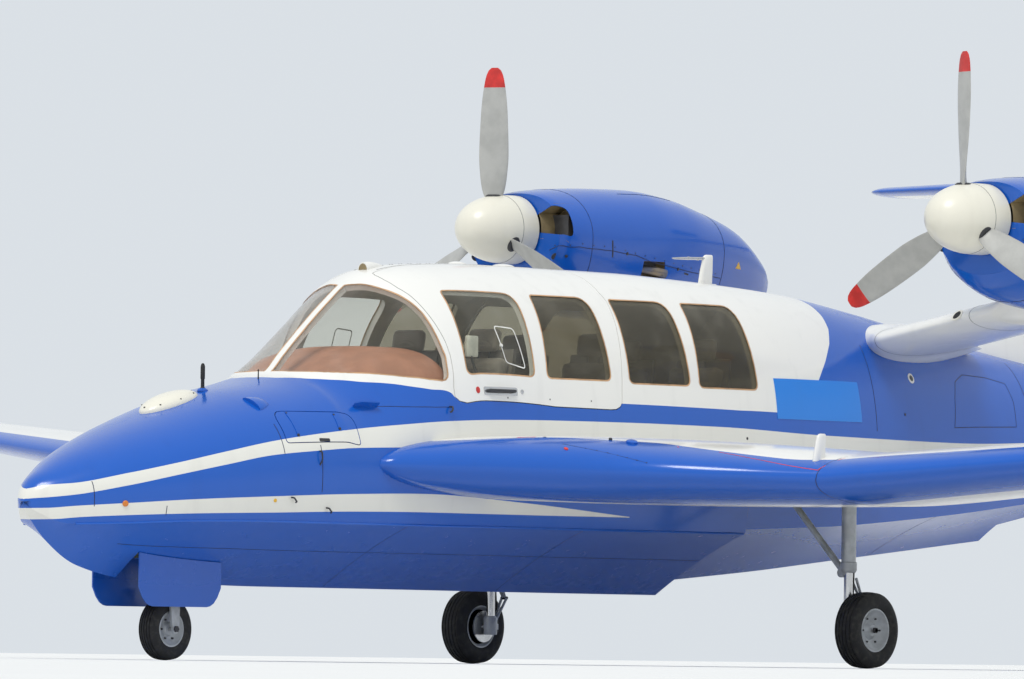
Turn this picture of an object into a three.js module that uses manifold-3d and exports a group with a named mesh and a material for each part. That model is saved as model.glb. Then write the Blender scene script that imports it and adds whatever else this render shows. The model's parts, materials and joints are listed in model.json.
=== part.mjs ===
// Twin-engined amphibious flying boat, standing on its wheels.
// Millimetres, +Z up, nose towards +X, port towards +Y.
// Origin: on the ground, under the middle of the length and of the span.
// Stations s run aft from the nose tip, and heights z run up from the nose tip.

import * as THREE from 'three';
import { LoftGeometry } from 'three/addons/geometries/LoftGeometry.js';
import { mergeVertices } from 'three/addons/utils/BufferGeometryUtils.js';
import Module from 'manifold-3d';

const wasm = await Module();
wasm.setup();

// Driving dimensions
const LENGTH = 10650;
const HALF_SPAN = 6360;
const HEIGHT = 3757;
const NOSE_HEIGHT = 820; // nose tip over the ground
const FIT = 0.3; // gap between pieces that touch
const WALL = 40; // door, roof and hull wall, skin to lining
const FLOOR_Z = 0; // cabin floor
const BAGGAGE_FLOOR_Z = 60;
const BAGGAGE_FORE_S = 5260;
const NOSE_X = LENGTH / 2;
const GROUND_Z = -NOSE_HEIGHT;
const FIN_TOP_Z = HEIGHT - NOSE_HEIGHT;

// Cabin
const SILL_Z = 560; // bottom of the white cabin top and of the doors
const SCREEN_BASE_Z = 722;
const SCREEN_AFT_S = 2545;
const SCREEN_FORE_S = 1780;
const BAND_Z = 674; // bottom of the white band under the windscreen
const POST_HALF = 22;
const DOOR_FORE_S = 2622;
const DOOR_AFT_LOW_S = 3970;
const DOOR_AFT_TOP_S = 4075;
const DOOR_HINGE_Y = 100;
const DOOR_GAP = 5;
const HINGE_GAP = 0.6;
const WINDOW_LOW_Z = 712;
const WINDOW_TOP_Z = 1160;
const WINDOW_RADIUS = 55;
const GLASS_OUT = 6; // skin to the pane's outer face
const GLASS_IN = 12;
const CABIN_FORE_S = 2000;
const CABIN_AFT_S = 5900;
const TAIL_VOID_FORE_S = 5960;
const TAIL_VOID_AFT_S = 9200;

// Engines and propellers
const ENGINE_Y = 1700;
const ENGINE_Z = 1640;
const DISC_S = 5600; // blade plane
const PROP_RADIUS = 915;
const SPINNER_TIP_S = 5335;
const SPINNER_BASE_S = 5705;
const SPINNER_RADIUS = 185;
const NACELLE_FORE_S = 5712;
const NACELLE_WALL = 14;
const FIREWALL_S = 6800;
const ENGINE_FORE_S = 5900;
const SHAFT_RADIUS = 42;

// Tail
const STAB_Z = 2000;
const STAB_PIVOT_S = 9240;
const STAB_ROOT_Y = 82;
const STAB_TUBE_RADIUS = 34;
const RUDDER_LOW_Z = 600;
const RUDDER_HINGE_LOW_S = 9680;
const RUDDER_HINGE_TOP_S = 10290;

// Landing gear
const NOSE_LEG_S = 1050;
const NOSE_WHEEL_RADIUS = 165;
const NOSE_WHEEL_WIDTH = 110;
const NOSE_TRAIL = 35;
const MAIN_S = 5150;
const MAIN_LEG_Y = 1290;
const MAIN_WHEEL_Y = 1420;
const MAIN_WHEEL_RADIUS = 210;
const MAIN_WHEEL_WIDTH = 150;
const AXLE_RADIUS = 16;
const BORE_GAP = 0.4;
const BORE_SIDES = 24;

const paint = {
  blue: { color: 0x1f4fb4, roughness: 0.3, metalness: 0.1 },
  white: { color: 0xe9e7de, roughness: 0.35, metalness: 0.05 },
  cream: { color: 0xddd9c8, roughness: 0.4, metalness: 0.05 },
  glass: { color: 0x5b5a48, roughness: 0.08, metalness: 0.0 },
  seat: { color: 0x8a8478, roughness: 0.85, metalness: 0.0 },
  trim: { color: 0x6a4634, roughness: 0.7, metalness: 0.0 },
  engine: { color: 0x4b4d50, roughness: 0.6, metalness: 0.7 },
  metal: { color: 0xb9bcc0, roughness: 0.35, metalness: 0.8 },
  tyre: { color: 0x1b1b1c, roughness: 0.9, metalness: 0.0 },
};

const aircraft = new THREE.Group();

// Adds one named piece.
function add(name, shape, finish) {
  const geometry = shape.isBufferGeometry ? shape : toGeometry(shape);
  const mesh = new THREE.Mesh(geometry, new THREE.MeshStandardMaterial(finish));
  mesh.name = name;
  aircraft.add(mesh);
}

// Adds a port piece and its mirror image.
function addPair(name, shape, finish) {
  const left = toGeometry(shape);
  add(`${name}_left`, left, finish);
  add(`${name}_right`, mirrored(left), finish);
}

function at(s, y, z) {
  return new THREE.Vector3(NOSE_X - s, y, NOSE_HEIGHT + z);
}

// Closed solid of a geometry, for joining and cutting.
function toSolid(geometry) {
  const plain = new THREE.BufferGeometry();
  plain.setAttribute('position', geometry.getAttribute('position'));
  plain.setIndex(geometry.index);
  const merged = mergeVertices(plain, 1e-3);
  return new wasm.Manifold(new wasm.Mesh({
    numProp: 3,
    vertProperties: merged.attributes.position.array,
    triVerts: new Uint32Array(merged.index.array),
  }));
}

function toGeometry(solid) {
  const mesh = solid.getMesh();
  const geometry = new THREE.BufferGeometry();
  geometry.setAttribute('position', new THREE.BufferAttribute(new Float32Array(mesh.vertProperties), 3));
  geometry.setIndex(new THREE.BufferAttribute(new Uint32Array(mesh.triVerts), 1));
  geometry.computeVertexNormals();
  return geometry;
}

function mirrored(geometry) {
  const copy = geometry.clone();
  copy.scale(1, -1, 1);
  const index = copy.index.array;
  for (let i = 0; i < index.length; i += 3) {
    const first = index[i];
    index[i] = index[i + 1];
    index[i + 1] = first;
  }
  copy.computeVertexNormals();
  return copy;
}

function loft(sections) {
  return toSolid(new LoftGeometry(sections, { closed: true, capStart: true, capEnd: true }));
}

// Box between two corners given as station, side and height.
function block(s0, s1, y0, y1, z0, z1) {
  const geometry = new THREE.BoxGeometry(s1 - s0, y1 - y0, z1 - z0);
  const middle = at((s0 + s1) / 2, (y0 + y1) / 2, (z0 + z1) / 2);
  geometry.translate(middle.x, middle.y, middle.z);
  return toSolid(geometry);
}

// Round bar between two points.
function bar(from, to, radius, endRadius = radius, sides = 14) {
  const geometry = new THREE.CylinderGeometry(endRadius, radius, from.distanceTo(to), sides);
  const direction = to.clone().sub(from).normalize();
  geometry.applyQuaternion(new THREE.Quaternion().setFromUnitVectors(new THREE.Vector3(0, 1, 0), direction));
  const middle = from.clone().add(to).multiplyScalar(0.5);
  geometry.translate(middle.x, middle.y, middle.z);
  return toSolid(geometry);
}

// Side outline of stations and heights, extruded across from y0 to y1.
function sidePrism(points, y0, y1) {
  const shape = points instanceof THREE.Shape
    ? points
    : new THREE.Shape(points.map(([s, z]) => new THREE.Vector2(-s, z)));
  const geometry = new THREE.ExtrudeGeometry(shape, { depth: y1 - y0, bevelEnabled: false, curveSegments: 3 });
  geometry.rotateX(Math.PI / 2);
  geometry.translate(NOSE_X, y1, NOSE_HEIGHT);
  return toSolid(geometry);
}

// Fuselage sections, nose to tail.
// Columns: station, keel height, chine height, chine half-breadth, belt height, belt half-breadth,
// top height, roundness of the upper part (2 is an ellipse)
const HULL = [
  [0, -80, -45, 45, -5, 62, 55, 2.0],
  [60, -200, -52, 135, 5, 160, 118, 2.0],
  [170, -285, -60, 220, 25, 250, 180, 2.0],
  [400, -365, -72, 335, 65, 368, 290, 2.1],
  [800, -405, -82, 455, 115, 490, 437, 2.2],
  [1300, -418, -88, 550, 165, 588, 585, 2.25],
  [1780, -425, -90, 608, 215, 645, 688, 2.3],
  [1850, -425, -90, 612, 220, 650, 712, 2.15],
  [1950, -425, -90, 618, 230, 656, 802, 1.85],
  [2100, -425, -90, 625, 245, 664, 935, 1.72],
  [2300, -426, -90, 632, 262, 671, 1098, 1.78],
  [2450, -426, -90, 637, 276, 677, 1205, 1.9],
  [2600, -426, -90, 641, 288, 682, 1278, 2.12],
  [2850, -427, -90, 645, 300, 687, 1316, 2.35],
  [3400, -428, -90, 650, 305, 690, 1336, 2.45],
  [4500, -430, -90, 648, 310, 686, 1330, 2.45],
  [5050, -430, -90, 640, 320, 672, 1312, 2.42],
  [5060, -355, -68, 632, 320, 671, 1311, 2.42],
  [5900, -285, -35, 590, 335, 625, 1266, 2.3],
  [6500, -225, 5, 535, 350, 565, 1192, 2.25],
  [7200, -155, 60, 450, 365, 478, 1085, 2.2],
  [7900, -85, 125, 345, 390, 385, 985, 2.1],
  [7910, -20, 150, 320, 390, 384, 984, 2.1],
  [8700, 130, 250, 200, 450, 260, 895, 2.1],
  [9590, 330, 370, 45, 570, 84, 818, 2.0],
];
const ARC_STEPS = 7;
const SIDE_BULGE = 0.72;

// Fuselage row at a station, between two rows of the table.
function hullRow(s) {
  const after = HULL.findIndex((row) => row[0] >= s);
  if (HULL[after][0] === s) {
    return HULL[after];
  }
  const [low, high] = [HULL[after - 1], HULL[after]];
  const t = (s - low[0]) / (high[0] - low[0]);
  return low.map((value, i) => value + (high[i] - value) * t);
}

// Ring of points of a fuselage section, shrunk by inset.
function hullRing(row, inset) {
  const [s, keel, chineZ, chineHalf, beltZ, beltHalf, topZ, power] = row;
  const half = [
    [chineHalf - inset, chineZ + inset / 3],
    [chineHalf + (beltHalf - chineHalf) * SIDE_BULGE - inset, (chineZ + beltZ) / 2],
  ];
  for (let i = 0; i < ARC_STEPS; i += 1) {
    const angle = (i / ARC_STEPS) * Math.PI / 2;
    half.push([
      (beltHalf - inset) * Math.cos(angle) ** (2 / power),
      beltZ + (topZ - inset - beltZ) * Math.sin(angle) ** (2 / power),
    ]);
  }
  const starboard = half.map(([y, z]) => at(s, -y, z));
  const port = half.map(([y, z]) => at(s, y, z)).reverse();
  return [at(s, 0, keel + inset), ...starboard, at(s, 0, topZ - inset), ...port];
}

function mirrorSolid(solid) {
  return toSolid(mirrored(toGeometry(solid)));
}

// Fuselage body between two stations, shrunk or grown by inset, the same on both sides.
function hullBody(fore, aft, inset) {
  const between = HULL.filter((row) => row[0] > fore && row[0] < aft);
  const whole = loft([hullRow(fore), ...between, hullRow(aft)].map((row) => hullRing(row, inset)));
  const port = whole.intersect(block(fore - 10, aft + 10, 0, 900, -900, 2000));
  return port.add(mirrorSolid(port));
}

const hullOuter = hullBody(0, HULL[HULL.length - 1][0], 0);
const hullGrown = hullBody(0, HULL[HULL.length - 1][0], -FIT);
const cabinVoid = hullBody(CABIN_FORE_S, CABIN_AFT_S, WALL)
  .intersect(block(CABIN_FORE_S - 10, CABIN_AFT_S + 10, -800, 800, FLOOR_Z, 1500));
const tailVoid = hullBody(TAIL_VOID_FORE_S, TAIL_VOID_AFT_S, WALL);
const BULKHEAD_HOLE_RADIUS = 210;
const bulkheadHole = bar(
  at(CABIN_AFT_S - 5, 0, 620), at(TAIL_VOID_FORE_S + 5, 0, 620), BULKHEAD_HOLE_RADIUS);
const fuselage = hullOuter.subtract(cabinVoid).subtract(tailVoid).subtract(bulkheadHole);

// Side outline of the white cabin top, moved in by gap.
function cabinTopOutline(gap) {
  return [
    [SCREEN_FORE_S - 20 + gap, BAND_Z + gap],
    [DOOR_FORE_S - 12, BAND_Z + gap],
    [DOOR_FORE_S - 12, SILL_Z + gap],
    [5600 - gap, SILL_Z + gap],
    [5770 - gap, 750],
    [5900 - gap, 1000],
    [6280 - gap, 1300],
    [6280 - gap, 1500],
    [SCREEN_FORE_S - 20 + gap, 1500],
  ];
}

// Side outline of a door, moved in by gap.
function doorOutline(gap) {
  const shape = new THREE.Shape();
  const low = SILL_Z + gap;
  const corner = 90;
  shape.moveTo(-(DOOR_FORE_S + gap), 1500);
  shape.lineTo(-(DOOR_FORE_S + gap), low);
  shape.lineTo(-(DOOR_AFT_LOW_S - corner), low);
  shape.quadraticCurveTo(-(DOOR_AFT_LOW_S - gap), low, -(DOOR_AFT_LOW_S + 5 - gap), low + corner);
  shape.lineTo(-(DOOR_AFT_TOP_S - gap), 1320);
  shape.lineTo(-(DOOR_AFT_TOP_S - gap), 1500);
  shape.closePath();
  return shape;
}

// Side windows. Columns: name, lower front, lower aft, upper front, upper aft stations
const WINDOWS = [
  ['door_window_front', 2705, 3245, 2705, 3270],
  ['door_window_rear', 3345, 3875, 3425, 3890],
  ['cabin_window_front', 4030, 4515, 4085, 4545],
  ['cabin_window_rear', 4660, 5140, 4685, 5140],
];

// Rounded window outline, moved in by gap.
function windowOutline([, lowFore, lowAft, topFore, topAft], gap) {
  const corners = [
    [lowFore + gap, WINDOW_LOW_Z + gap],
    [lowAft - gap, WINDOW_LOW_Z + gap],
    [topAft - gap, WINDOW_TOP_Z - gap],
    [topFore + gap, WINDOW_TOP_Z - gap],
  ].map(([s, z]) => new THREE.Vector2(-s, z));
  const shape = new THREE.Shape();
  corners.forEach((corner, i) => {
    const before = corners[(i + 3) % 4].clone().sub(corner).normalize().multiplyScalar(WINDOW_RADIUS);
    const after = corners[(i + 1) % 4].clone().sub(corner).normalize().multiplyScalar(WINDOW_RADIUS);
    const start = corner.clone().add(before);
    const end = corner.clone().add(after);
    if (i === 0) {
      shape.moveTo(start.x, start.y);
    } else {
      shape.lineTo(start.x, start.y);
    }
    shape.quadraticCurveTo(corner.x, corner.y, end.x, end.y);
  });
  shape.closePath();
  return shape;
}

// Cabin top, doors and glass
const glassShell = hullBody(1800, 5300, GLASS_OUT).subtract(hullBody(1790, 5310, GLASS_IN));

function screenOpening(side, gap) {
  const inner = POST_HALF + gap;
  const [y0, y1] = side > 0 ? [inner, 800] : [-800, -inner];
  return block(SCREEN_FORE_S, SCREEN_AFT_S - gap, y0, y1, SCREEN_BASE_Z + gap, 1500);
}

function doorRegion(gap, hingeGap) {
  return sidePrism(doorOutline(gap), DOOR_HINGE_Y + hingeGap, 800);
}

const doorHole = doorRegion(0, 0);
const windowHoles = WINDOWS.map((row) => sidePrism(windowOutline(row, 0), 300, 800));
let cabinTop = fuselage.intersect(sidePrism(cabinTopOutline(FIT), -800, 800));
for (const hole of [doorHole, windowHoles[2], windowHoles[3], screenOpening(1, 0)]) {
  cabinTop = cabinTop.subtract(hole).subtract(mirrorSolid(hole));
}
const door = fuselage.intersect(doorRegion(DOOR_GAP, HINGE_GAP))
  .subtract(windowHoles[0])
  .subtract(windowHoles[1]);

// Nose baggage hatch on the port bow
const HATCH = { s: 1635, y: 524, turn: -14.4, half: 265, low: 318, top: 492, inner: 274, thickness: 22 };

// Box along the hinge line, which follows the bow's side in plan.
function hatchRegion(gap) {
  const top = gap > 0 ? HATCH.top - HINGE_GAP : HATCH.top;
  const low = HATCH.low + gap;
  const geometry = new THREE.BoxGeometry(2 * (HATCH.half - gap), 2 * HATCH.inner, top - low);
  geometry.rotateZ(THREE.MathUtils.degToRad(HATCH.turn));
  const middle = at(HATCH.s, HATCH.y, (low + top) / 2);
  geometry.translate(middle.x, middle.y, middle.z);
  return toSolid(geometry);
}
const hatchShell = hullOuter.subtract(hullBody(1200, 2000, HATCH.thickness));
const hatch = hatchShell.intersect(hatchRegion(DOOR_GAP));
const hatchPocket = hatchRegion(0).intersect(hullGrown);

// Nose wheel bay
const BAY = { fore: 700, aft: 1330, half: 160, top: -60 };
const noseBay = block(BAY.fore, BAY.aft, -BAY.half, BAY.half, -500, BAY.top);

// Rudder hinge line, and the heel and boss under it
const HINGE_PIN_RADIUS = 12;
const HEEL = { fore: 9540, aft: 9730, half: 32, low: 470, top: 576, bossTop: 586, bossRadius: 20 };
function rudderLine(z) {
  const t = (z - RUDDER_LOW_Z) / (FIN_TOP_Z - RUDDER_LOW_Z);
  return RUDDER_HINGE_LOW_S + t * (RUDDER_HINGE_TOP_S - RUDDER_HINGE_LOW_S);
}
function onRudderLine(z) {
  return at(rudderLine(z), 0, z);
}
const heel = block(HEEL.fore, HEEL.aft, -HEEL.half, HEEL.half, HEEL.low, HEEL.top)
  .add(bar(onRudderLine(HEEL.top - 40), onRudderLine(HEEL.bossTop), HEEL.bossRadius));

// The fuselage below the cabin top is built as bow, bottom, two sides and tail. A raised board
// in the cabin is the baggage floor.
const topRegion = sidePrism(cabinTopOutline(0), -800, 800);
const hullBow = hullOuter
  .intersect(block(-10, CABIN_FORE_S - FIT, -900, 900, -900, 2000))
  .subtract(topRegion)
  .subtract(hatchPocket)
  .subtract(noseBay);
const hullBottom = hullOuter.intersect(block(CABIN_FORE_S, CABIN_AFT_S, -900, 900, -900, FLOOR_Z));
const cabinSide = hullOuter
  .subtract(hullBody(CABIN_FORE_S - 50, CABIN_AFT_S + 50, WALL))
  .intersect(block(CABIN_FORE_S, CABIN_AFT_S, 0, 900, FLOOR_Z + FIT, 1500))
  .subtract(topRegion);
const baggageFloor = hullBody(CABIN_FORE_S + 1, CABIN_AFT_S - 1, WALL + FIT)
  .intersect(block(BAGGAGE_FORE_S, CABIN_AFT_S, -900, 900, FLOOR_Z + FIT, BAGGAGE_FLOOR_Z));
const hullTail = fuselage
  .intersect(block(CABIN_AFT_S + FIT, LENGTH + 10, -900, 900, -900, 2000))
  .add(heel)
  .subtract(topRegion);
add('hull_bow', hullBow, paint.blue);
add('hull_bottom', hullBottom, paint.blue);
addPair('cabin_side', cabinSide, paint.blue);
add('hull_tail', hullTail, paint.blue);
add('baggage_floor', baggageFloor, paint.trim);
add('cabin_top', cabinTop, paint.white);
addPair('door', door, paint.white);
addPair('windscreen', glassShell.intersect(screenOpening(1, 0.5)), paint.glass);
for (const row of WINDOWS) {
  addPair(row[0], glassShell.intersect(sidePrism(windowOutline(row, 0.5), 300, 800)), paint.glass);
}
add('nose_hatch', hatch, paint.blue);

// Aerofoil half-thickness at a fraction of the chord, for unit thickness.
function aerofoil(x) {
  return 5 * (0.2969 * Math.sqrt(x) - 0.126 * x - 0.3516 * x ** 2 + 0.2843 * x ** 3 - 0.1036 * x ** 4);
}
const CHORD_STEPS = [0.012, 0.05, 0.12, 0.25, 0.42, 0.6, 0.76, 0.9];
const EDGE = 5; // half-thickness of a trailing edge

// Ring of an aerofoil section as pairs of station and offset: trailing edge, one face, nose, other face.
function aerofoilRing(lead, trail, thickness) {
  const chord = trail - lead;
  const face = CHORD_STEPS.map((x) => [lead + x * chord, Math.max(aerofoil(x) * thickness, EDGE)]);
  const far = face.slice().reverse();
  return [
    [trail, EDGE],
    ...far,
    [lead, 0],
    ...face.map(([s, h]) => [s, -h]),
    [trail, -EDGE],
  ];
}

// Wing sections, root to tip. Columns: side, leading edge, trailing edge, height, thickness
const WING = [
  [300, 1750, 6160, 225, 330],
  [700, 1870, 6150, 225, 345],
  [800, 2060, 6145, 225, 352],
  [1000, 2620, 6130, 222, 358],
  [1250, 3140, 6115, 216, 350],
  [1600, 3480, 6090, 205, 328],
  [2200, 3790, 6050, 190, 285],
  [4000, 4517, 6260, 347, 215],
  [6200, 5406, 6520, 540, 130],
  [6320, 5520, 6500, 550, 90],
  [HALF_SPAN, 5680, 6440, 554, 36],
];
function wingRow(y) {
  const after = WING.findIndex((row) => row[0] >= y);
  const [low, high] = [WING[after - 1], WING[after]];
  const t = (y - low[0]) / (high[0] - low[0]);
  return low.map((value, i) => value + (high[i] - value) * t);
}
const wingSolid = loft(WING.map(([y, lead, trail, z, thickness]) => (
  aerofoilRing(lead, trail, thickness).map(([s, h]) => at(s, y, z + h))
))).subtract(hullGrown);

// Hinge point of a wing surface: place, and half-thickness of the wing there.
const WING_HINGE = 0.74;
function wingHinge(y) {
  const [, lead, trail, z, thickness] = wingRow(y);
  return {
    point: at(lead + (trail - lead) * WING_HINGE, y, z),
    half: aerofoil(WING_HINGE) * thickness,
  };
}
const SURFACE_GAP = 7;

// Control surface between two sides, with a round nose and end pins on its hinge line.
function wingSurface(inner, outer) {
  const a = wingHinge(inner);
  const b = wingHinge(outer);
  const span = a.point.distanceTo(b.point);
  const line = b.point.clone().sub(a.point).normalize();
  const up = new THREE.Vector3(-1, 0, 0).cross(line).normalize();
  const aft = line.clone().cross(up);
  const turn = new THREE.Matrix4().makeBasis(aft, line, up);
  const region = (gap, fore) => {
    const reach = 1500;
    const geometry = new THREE.BoxGeometry(reach + fore, span - 2 * gap, 1200);
    geometry.translate((reach - fore) / 2, span / 2, 0);
    geometry.applyMatrix4(turn);
    geometry.translate(a.point.x, a.point.y, a.point.z);
    return toSolid(geometry);
  };
  const rod = (gap, radius, endRadius) => bar(
    a.point.clone().addScaledVector(line, gap), b.point.clone().addScaledVector(line, -gap),
    radius, endRadius, 14);
  const moving = wingSolid.intersect(region(SURFACE_GAP, 0))
    .add(rod(SURFACE_GAP, a.half - 1, b.half - 1))
    .add(rod(FIT, HINGE_PIN_RADIUS, HINGE_PIN_RADIUS));
  const cut = region(0, 0).add(rod(0, a.half + SURFACE_GAP - 1, b.half + SURFACE_GAP - 1));
  return { moving, cut };
}
const flap = wingSurface(2250, 3960);
const aileron = wingSurface(4040, 6120);

// Main wheel well in the wing's underside
const mainWell = block(MAIN_S - 235, MAIN_S + 235, 760, MAIN_LEG_Y + 50, -100, 205);
const wing = wingSolid.subtract(flap.cut).subtract(aileron.cut).subtract(mainWell);
addPair('wing', wing, paint.blue);
addPair('flap', flap.moving, paint.white);
addPair('aileron', aileron.moving, paint.white);

// Fin and rudder sections, root to top. Columns: height, leading edge, trailing edge, thickness
const FIN = [
  [RUDDER_LOW_Z, 8600, 10330, 150],
  [800, 7250, 10362, 190],
  [980, 7520, 10385, 190],
  [1150, 7860, 10405, 185],
  [1400, 8260, 10430, 170],
  [1700, 8550, 10470, 150],
  [2000, 8800, 10510, 135],
  [FIN_TOP_Z - 60, 9560, 10640, 90],
  [FIN_TOP_Z, 9720, 10650, 60],
];
const finSolid = loft(FIN.map(([z, lead, trail, thickness]) => (
  aerofoilRing(lead, trail, thickness).map(([s, h]) => at(s, -h, z))
)));
const RUDDER_NOSE_LOW = 70;
const RUDDER_NOSE_TOP = 26;
const RUDDER_NOSE_OVER = 100; // past the rudder's ends
const rudderRegion = sidePrism([
  [rudderLine(0), 0], [10900, 0], [10900, 3200], [rudderLine(3200), 3200],
], -300, 300);
function rudderNose(grow) {
  return bar(
    onRudderLine(RUDDER_LOW_Z - RUDDER_NOSE_OVER), onRudderLine(FIN_TOP_Z + RUDDER_NOSE_OVER),
    RUDDER_NOSE_LOW + grow, RUDDER_NOSE_TOP + grow, 20);
}
const finFlat = block(9000, 10900, -300, 300, RUDDER_LOW_Z, FIN_TOP_Z);
const rudderPin = bar(
  onRudderLine(HEEL.bossTop + FIT), onRudderLine(RUDDER_LOW_Z + 30), HINGE_PIN_RADIUS);
const rudder = finSolid.intersect(rudderRegion)
  .add(rudderNose(0).intersect(finFlat))
  .add(rudderPin);
const stabBore = bar(
  at(STAB_PIVOT_S, -150, STAB_Z), at(STAB_PIVOT_S, 150, STAB_Z),
  STAB_TUBE_RADIUS + BORE_GAP, undefined, BORE_SIDES);
const fin = finSolid
  .subtract(rudderRegion)
  .subtract(rudderNose(SURFACE_GAP))
  .subtract(hullGrown)
  .subtract(stabBore);
add('fin', fin, paint.white);
add('rudder', rudder, paint.white);

// All-moving tailplane. Columns: side, leading edge, trailing edge, thickness
const TAILPLANE = [
  [STAB_ROOT_Y, 8790, 9800, 100],
  [1820, 9205, 9960, 66],
  [1920, 9260, 9955, 50],
  [1965, 9380, 9900, 20],
];
const stabHalf = loft(TAILPLANE.map(([y, lead, trail, thickness]) => (
  aerofoilRing(lead, trail, thickness).map(([s, h]) => at(s, y, STAB_Z + h))
)));
const stabiliser = stabHalf
  .add(mirrorSolid(stabHalf))
  .add(bar(
    at(STAB_PIVOT_S, -STAB_ROOT_Y - 20, STAB_Z), at(STAB_PIVOT_S, STAB_ROOT_Y + 20, STAB_Z),
    STAB_TUBE_RADIUS, undefined, BORE_SIDES));
add('stabiliser', stabiliser, paint.white);

// Nacelle sections about the engine axis.
// Columns: station, half-breadth, top height, bottom height
const NACELLE = [
  [NACELLE_FORE_S, 290, 188, -205],
  [5760, 340, 205, -290],
  [5850, 370, 222, -375],
  [6050, 388, 243, -450],
  [6350, 392, 258, -485],
  [6650, 388, 262, -485],
  [6950, 362, 235, -470],
  [7250, 310, 172, -445],
  [7550, 235, 90, -410],
  [7800, 150, -50, -370],
  [7990, 50, -225, -310],
];
const NACELLE_STEPS = 16;
function nacelleBody(fore, aft, inset) {
  const rows = NACELLE.filter((row) => row[0] >= fore && row[0] <= aft);
  return loft(rows.map(([s, half, top, bottom]) => {
    const middle = half > 100 ? Math.min(0, (top + bottom) / 2 + 60) : (top + bottom) / 2;
    return Array.from({ length: NACELLE_STEPS }, (_, i) => {
      const angle = (i / NACELLE_STEPS) * 2 * Math.PI - Math.PI / 2;
      const reach = Math.sin(angle) > 0 ? top - inset - middle : middle - bottom - inset;
      const y = (half - inset) * Math.sign(Math.cos(angle)) * Math.abs(Math.cos(angle)) ** 0.85;
      return at(s, ENGINE_Y - y, ENGINE_Z + middle + reach * Math.sin(angle));
    });
  }));
}
const nacelleVoid = nacelleBody(5760, 6950, NACELLE_WALL)
  .intersect(block(5700, FIREWALL_S, 1000, 2400, 900, 2100));
const INLET = { y: 250, z: 40, half: 62 };
function inletHole(side) {
  return bar(
    at(5650, ENGINE_Y + side * INLET.y, ENGINE_Z + INLET.z),
    at(5880, ENGINE_Y + side * INLET.y, ENGINE_Z + INLET.z), INLET.half, undefined, 12);
}
const shaftHole = bar(
  at(5650, ENGINE_Y, ENGINE_Z), at(5880, ENGINE_Y, ENGINE_Z), SHAFT_RADIUS + DOOR_GAP, undefined, 20);
const nacelle = nacelleBody(0, 9000, 0)
  .subtract(nacelleVoid)
  .subtract(inletHole(1))
  .subtract(inletHole(-1))
  .subtract(shaftHole);
const nacelleGrown = nacelleBody(0, 9000, -FIT);
addPair('nacelle', nacelle, paint.blue);
const ENGINE_BLOCK = { half: 305, below: 205, above: 85 };
const engineBlock = block(
  ENGINE_FORE_S, FIREWALL_S - FIT, ENGINE_Y - ENGINE_BLOCK.half, ENGINE_Y + ENGINE_BLOCK.half,
  ENGINE_Z - ENGINE_BLOCK.below, ENGINE_Z + ENGINE_BLOCK.above);
addPair('engine', engineBlock, paint.engine);

// Engine pylon. Columns: side, leading edge, trailing edge, height, thickness
const PYLON = [
  [250, 6260, 7200, 955, 150],
  [560, 6250, 7200, 1008, 150],
  [1400, 6150, 7120, 1150, 145],
  [1600, 6130, 7090, 1185, 145],
];
const pylon = loft(PYLON.map(([y, lead, trail, z, thickness]) => (
  aerofoilRing(lead, trail, thickness).map(([s, h]) => at(s, y, z + h))
))).subtract(hullGrown).subtract(nacelleGrown);
addPair('pylon', pylon, paint.white);

// Propeller: spinner, shaft and three blades.
// Blade columns: radius, chord, angle from the disc in degrees, thickness
const BLADE = [
  [110, 96, 62, 66],
  [210, 128, 48, 34],
  [420, 168, 34, 20],
  [640, 158, 25, 14],
  [840, 112, 20, 9],
  [PROP_RADIUS, 44, 18, 5],
];
const BLADES = 3;
const BLADE_RING = [[-0.5, 0], [-0.36, 0.36], [-0.1, 0.5], [0.22, 0.36], [0.5, 0], [0.22, -0.36], [-0.1, -0.5], [-0.36, -0.36]];
function bladeSolid(turn) {
  const sections = BLADE.map(([radius, chord, angle, thickness]) => {
    const pitch = THREE.MathUtils.degToRad(angle);
    return BLADE_RING.map(([c, h]) => {
      const across = c * chord * Math.cos(pitch) - h * thickness * Math.sin(pitch);
      const along = c * chord * Math.sin(pitch) + h * thickness * Math.cos(pitch);
      return new THREE.Vector3(along, across, radius).applyAxisAngle(new THREE.Vector3(1, 0, 0), turn);
    });
  });
  const geometry = new LoftGeometry(sections, { closed: true, capStart: true, capEnd: true });
  const hub = at(DISC_S, ENGINE_Y, ENGINE_Z);
  geometry.translate(hub.x, hub.y, hub.z);
  return toSolid(geometry);
}
function spinnerSolid() {
  const long = SPINNER_BASE_S - SPINNER_TIP_S;
  const profile = [new THREE.Vector2(0, 0)];
  const steps = 5;
  for (let i = 0; i <= steps; i += 1) {
    const angle = (i / steps) * Math.PI / 2;
    profile.push(new THREE.Vector2(SPINNER_RADIUS * Math.cos(angle) ** 0.9, long * Math.sin(angle)));
  }
  profile[profile.length - 1].x = 0;
  const geometry = new THREE.LatheGeometry(profile, 20);
  geometry.rotateZ(-Math.PI / 2);
  const base = at(SPINNER_BASE_S, ENGINE_Y, ENGINE_Z);
  geometry.translate(base.x, base.y, base.z);
  return toSolid(geometry);
}
let propeller = spinnerSolid()
  .add(bar(at(SPINNER_BASE_S - 20, ENGINE_Y, ENGINE_Z), at(ENGINE_FORE_S - FIT, ENGINE_Y, ENGINE_Z), SHAFT_RADIUS));
for (let i = 0; i < BLADES; i += 1) {
  propeller = propeller.add(bladeSolid((i / BLADES) * 2 * Math.PI));
}
addPair('propeller', propeller, paint.cream);

const WHEEL_SIDES = 24;

// Axle height of a wheel that stands on one flat of its rim.
function axleHeight(radius) {
  return GROUND_Z + radius * Math.cos(Math.PI / WHEEL_SIDES);
}

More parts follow.
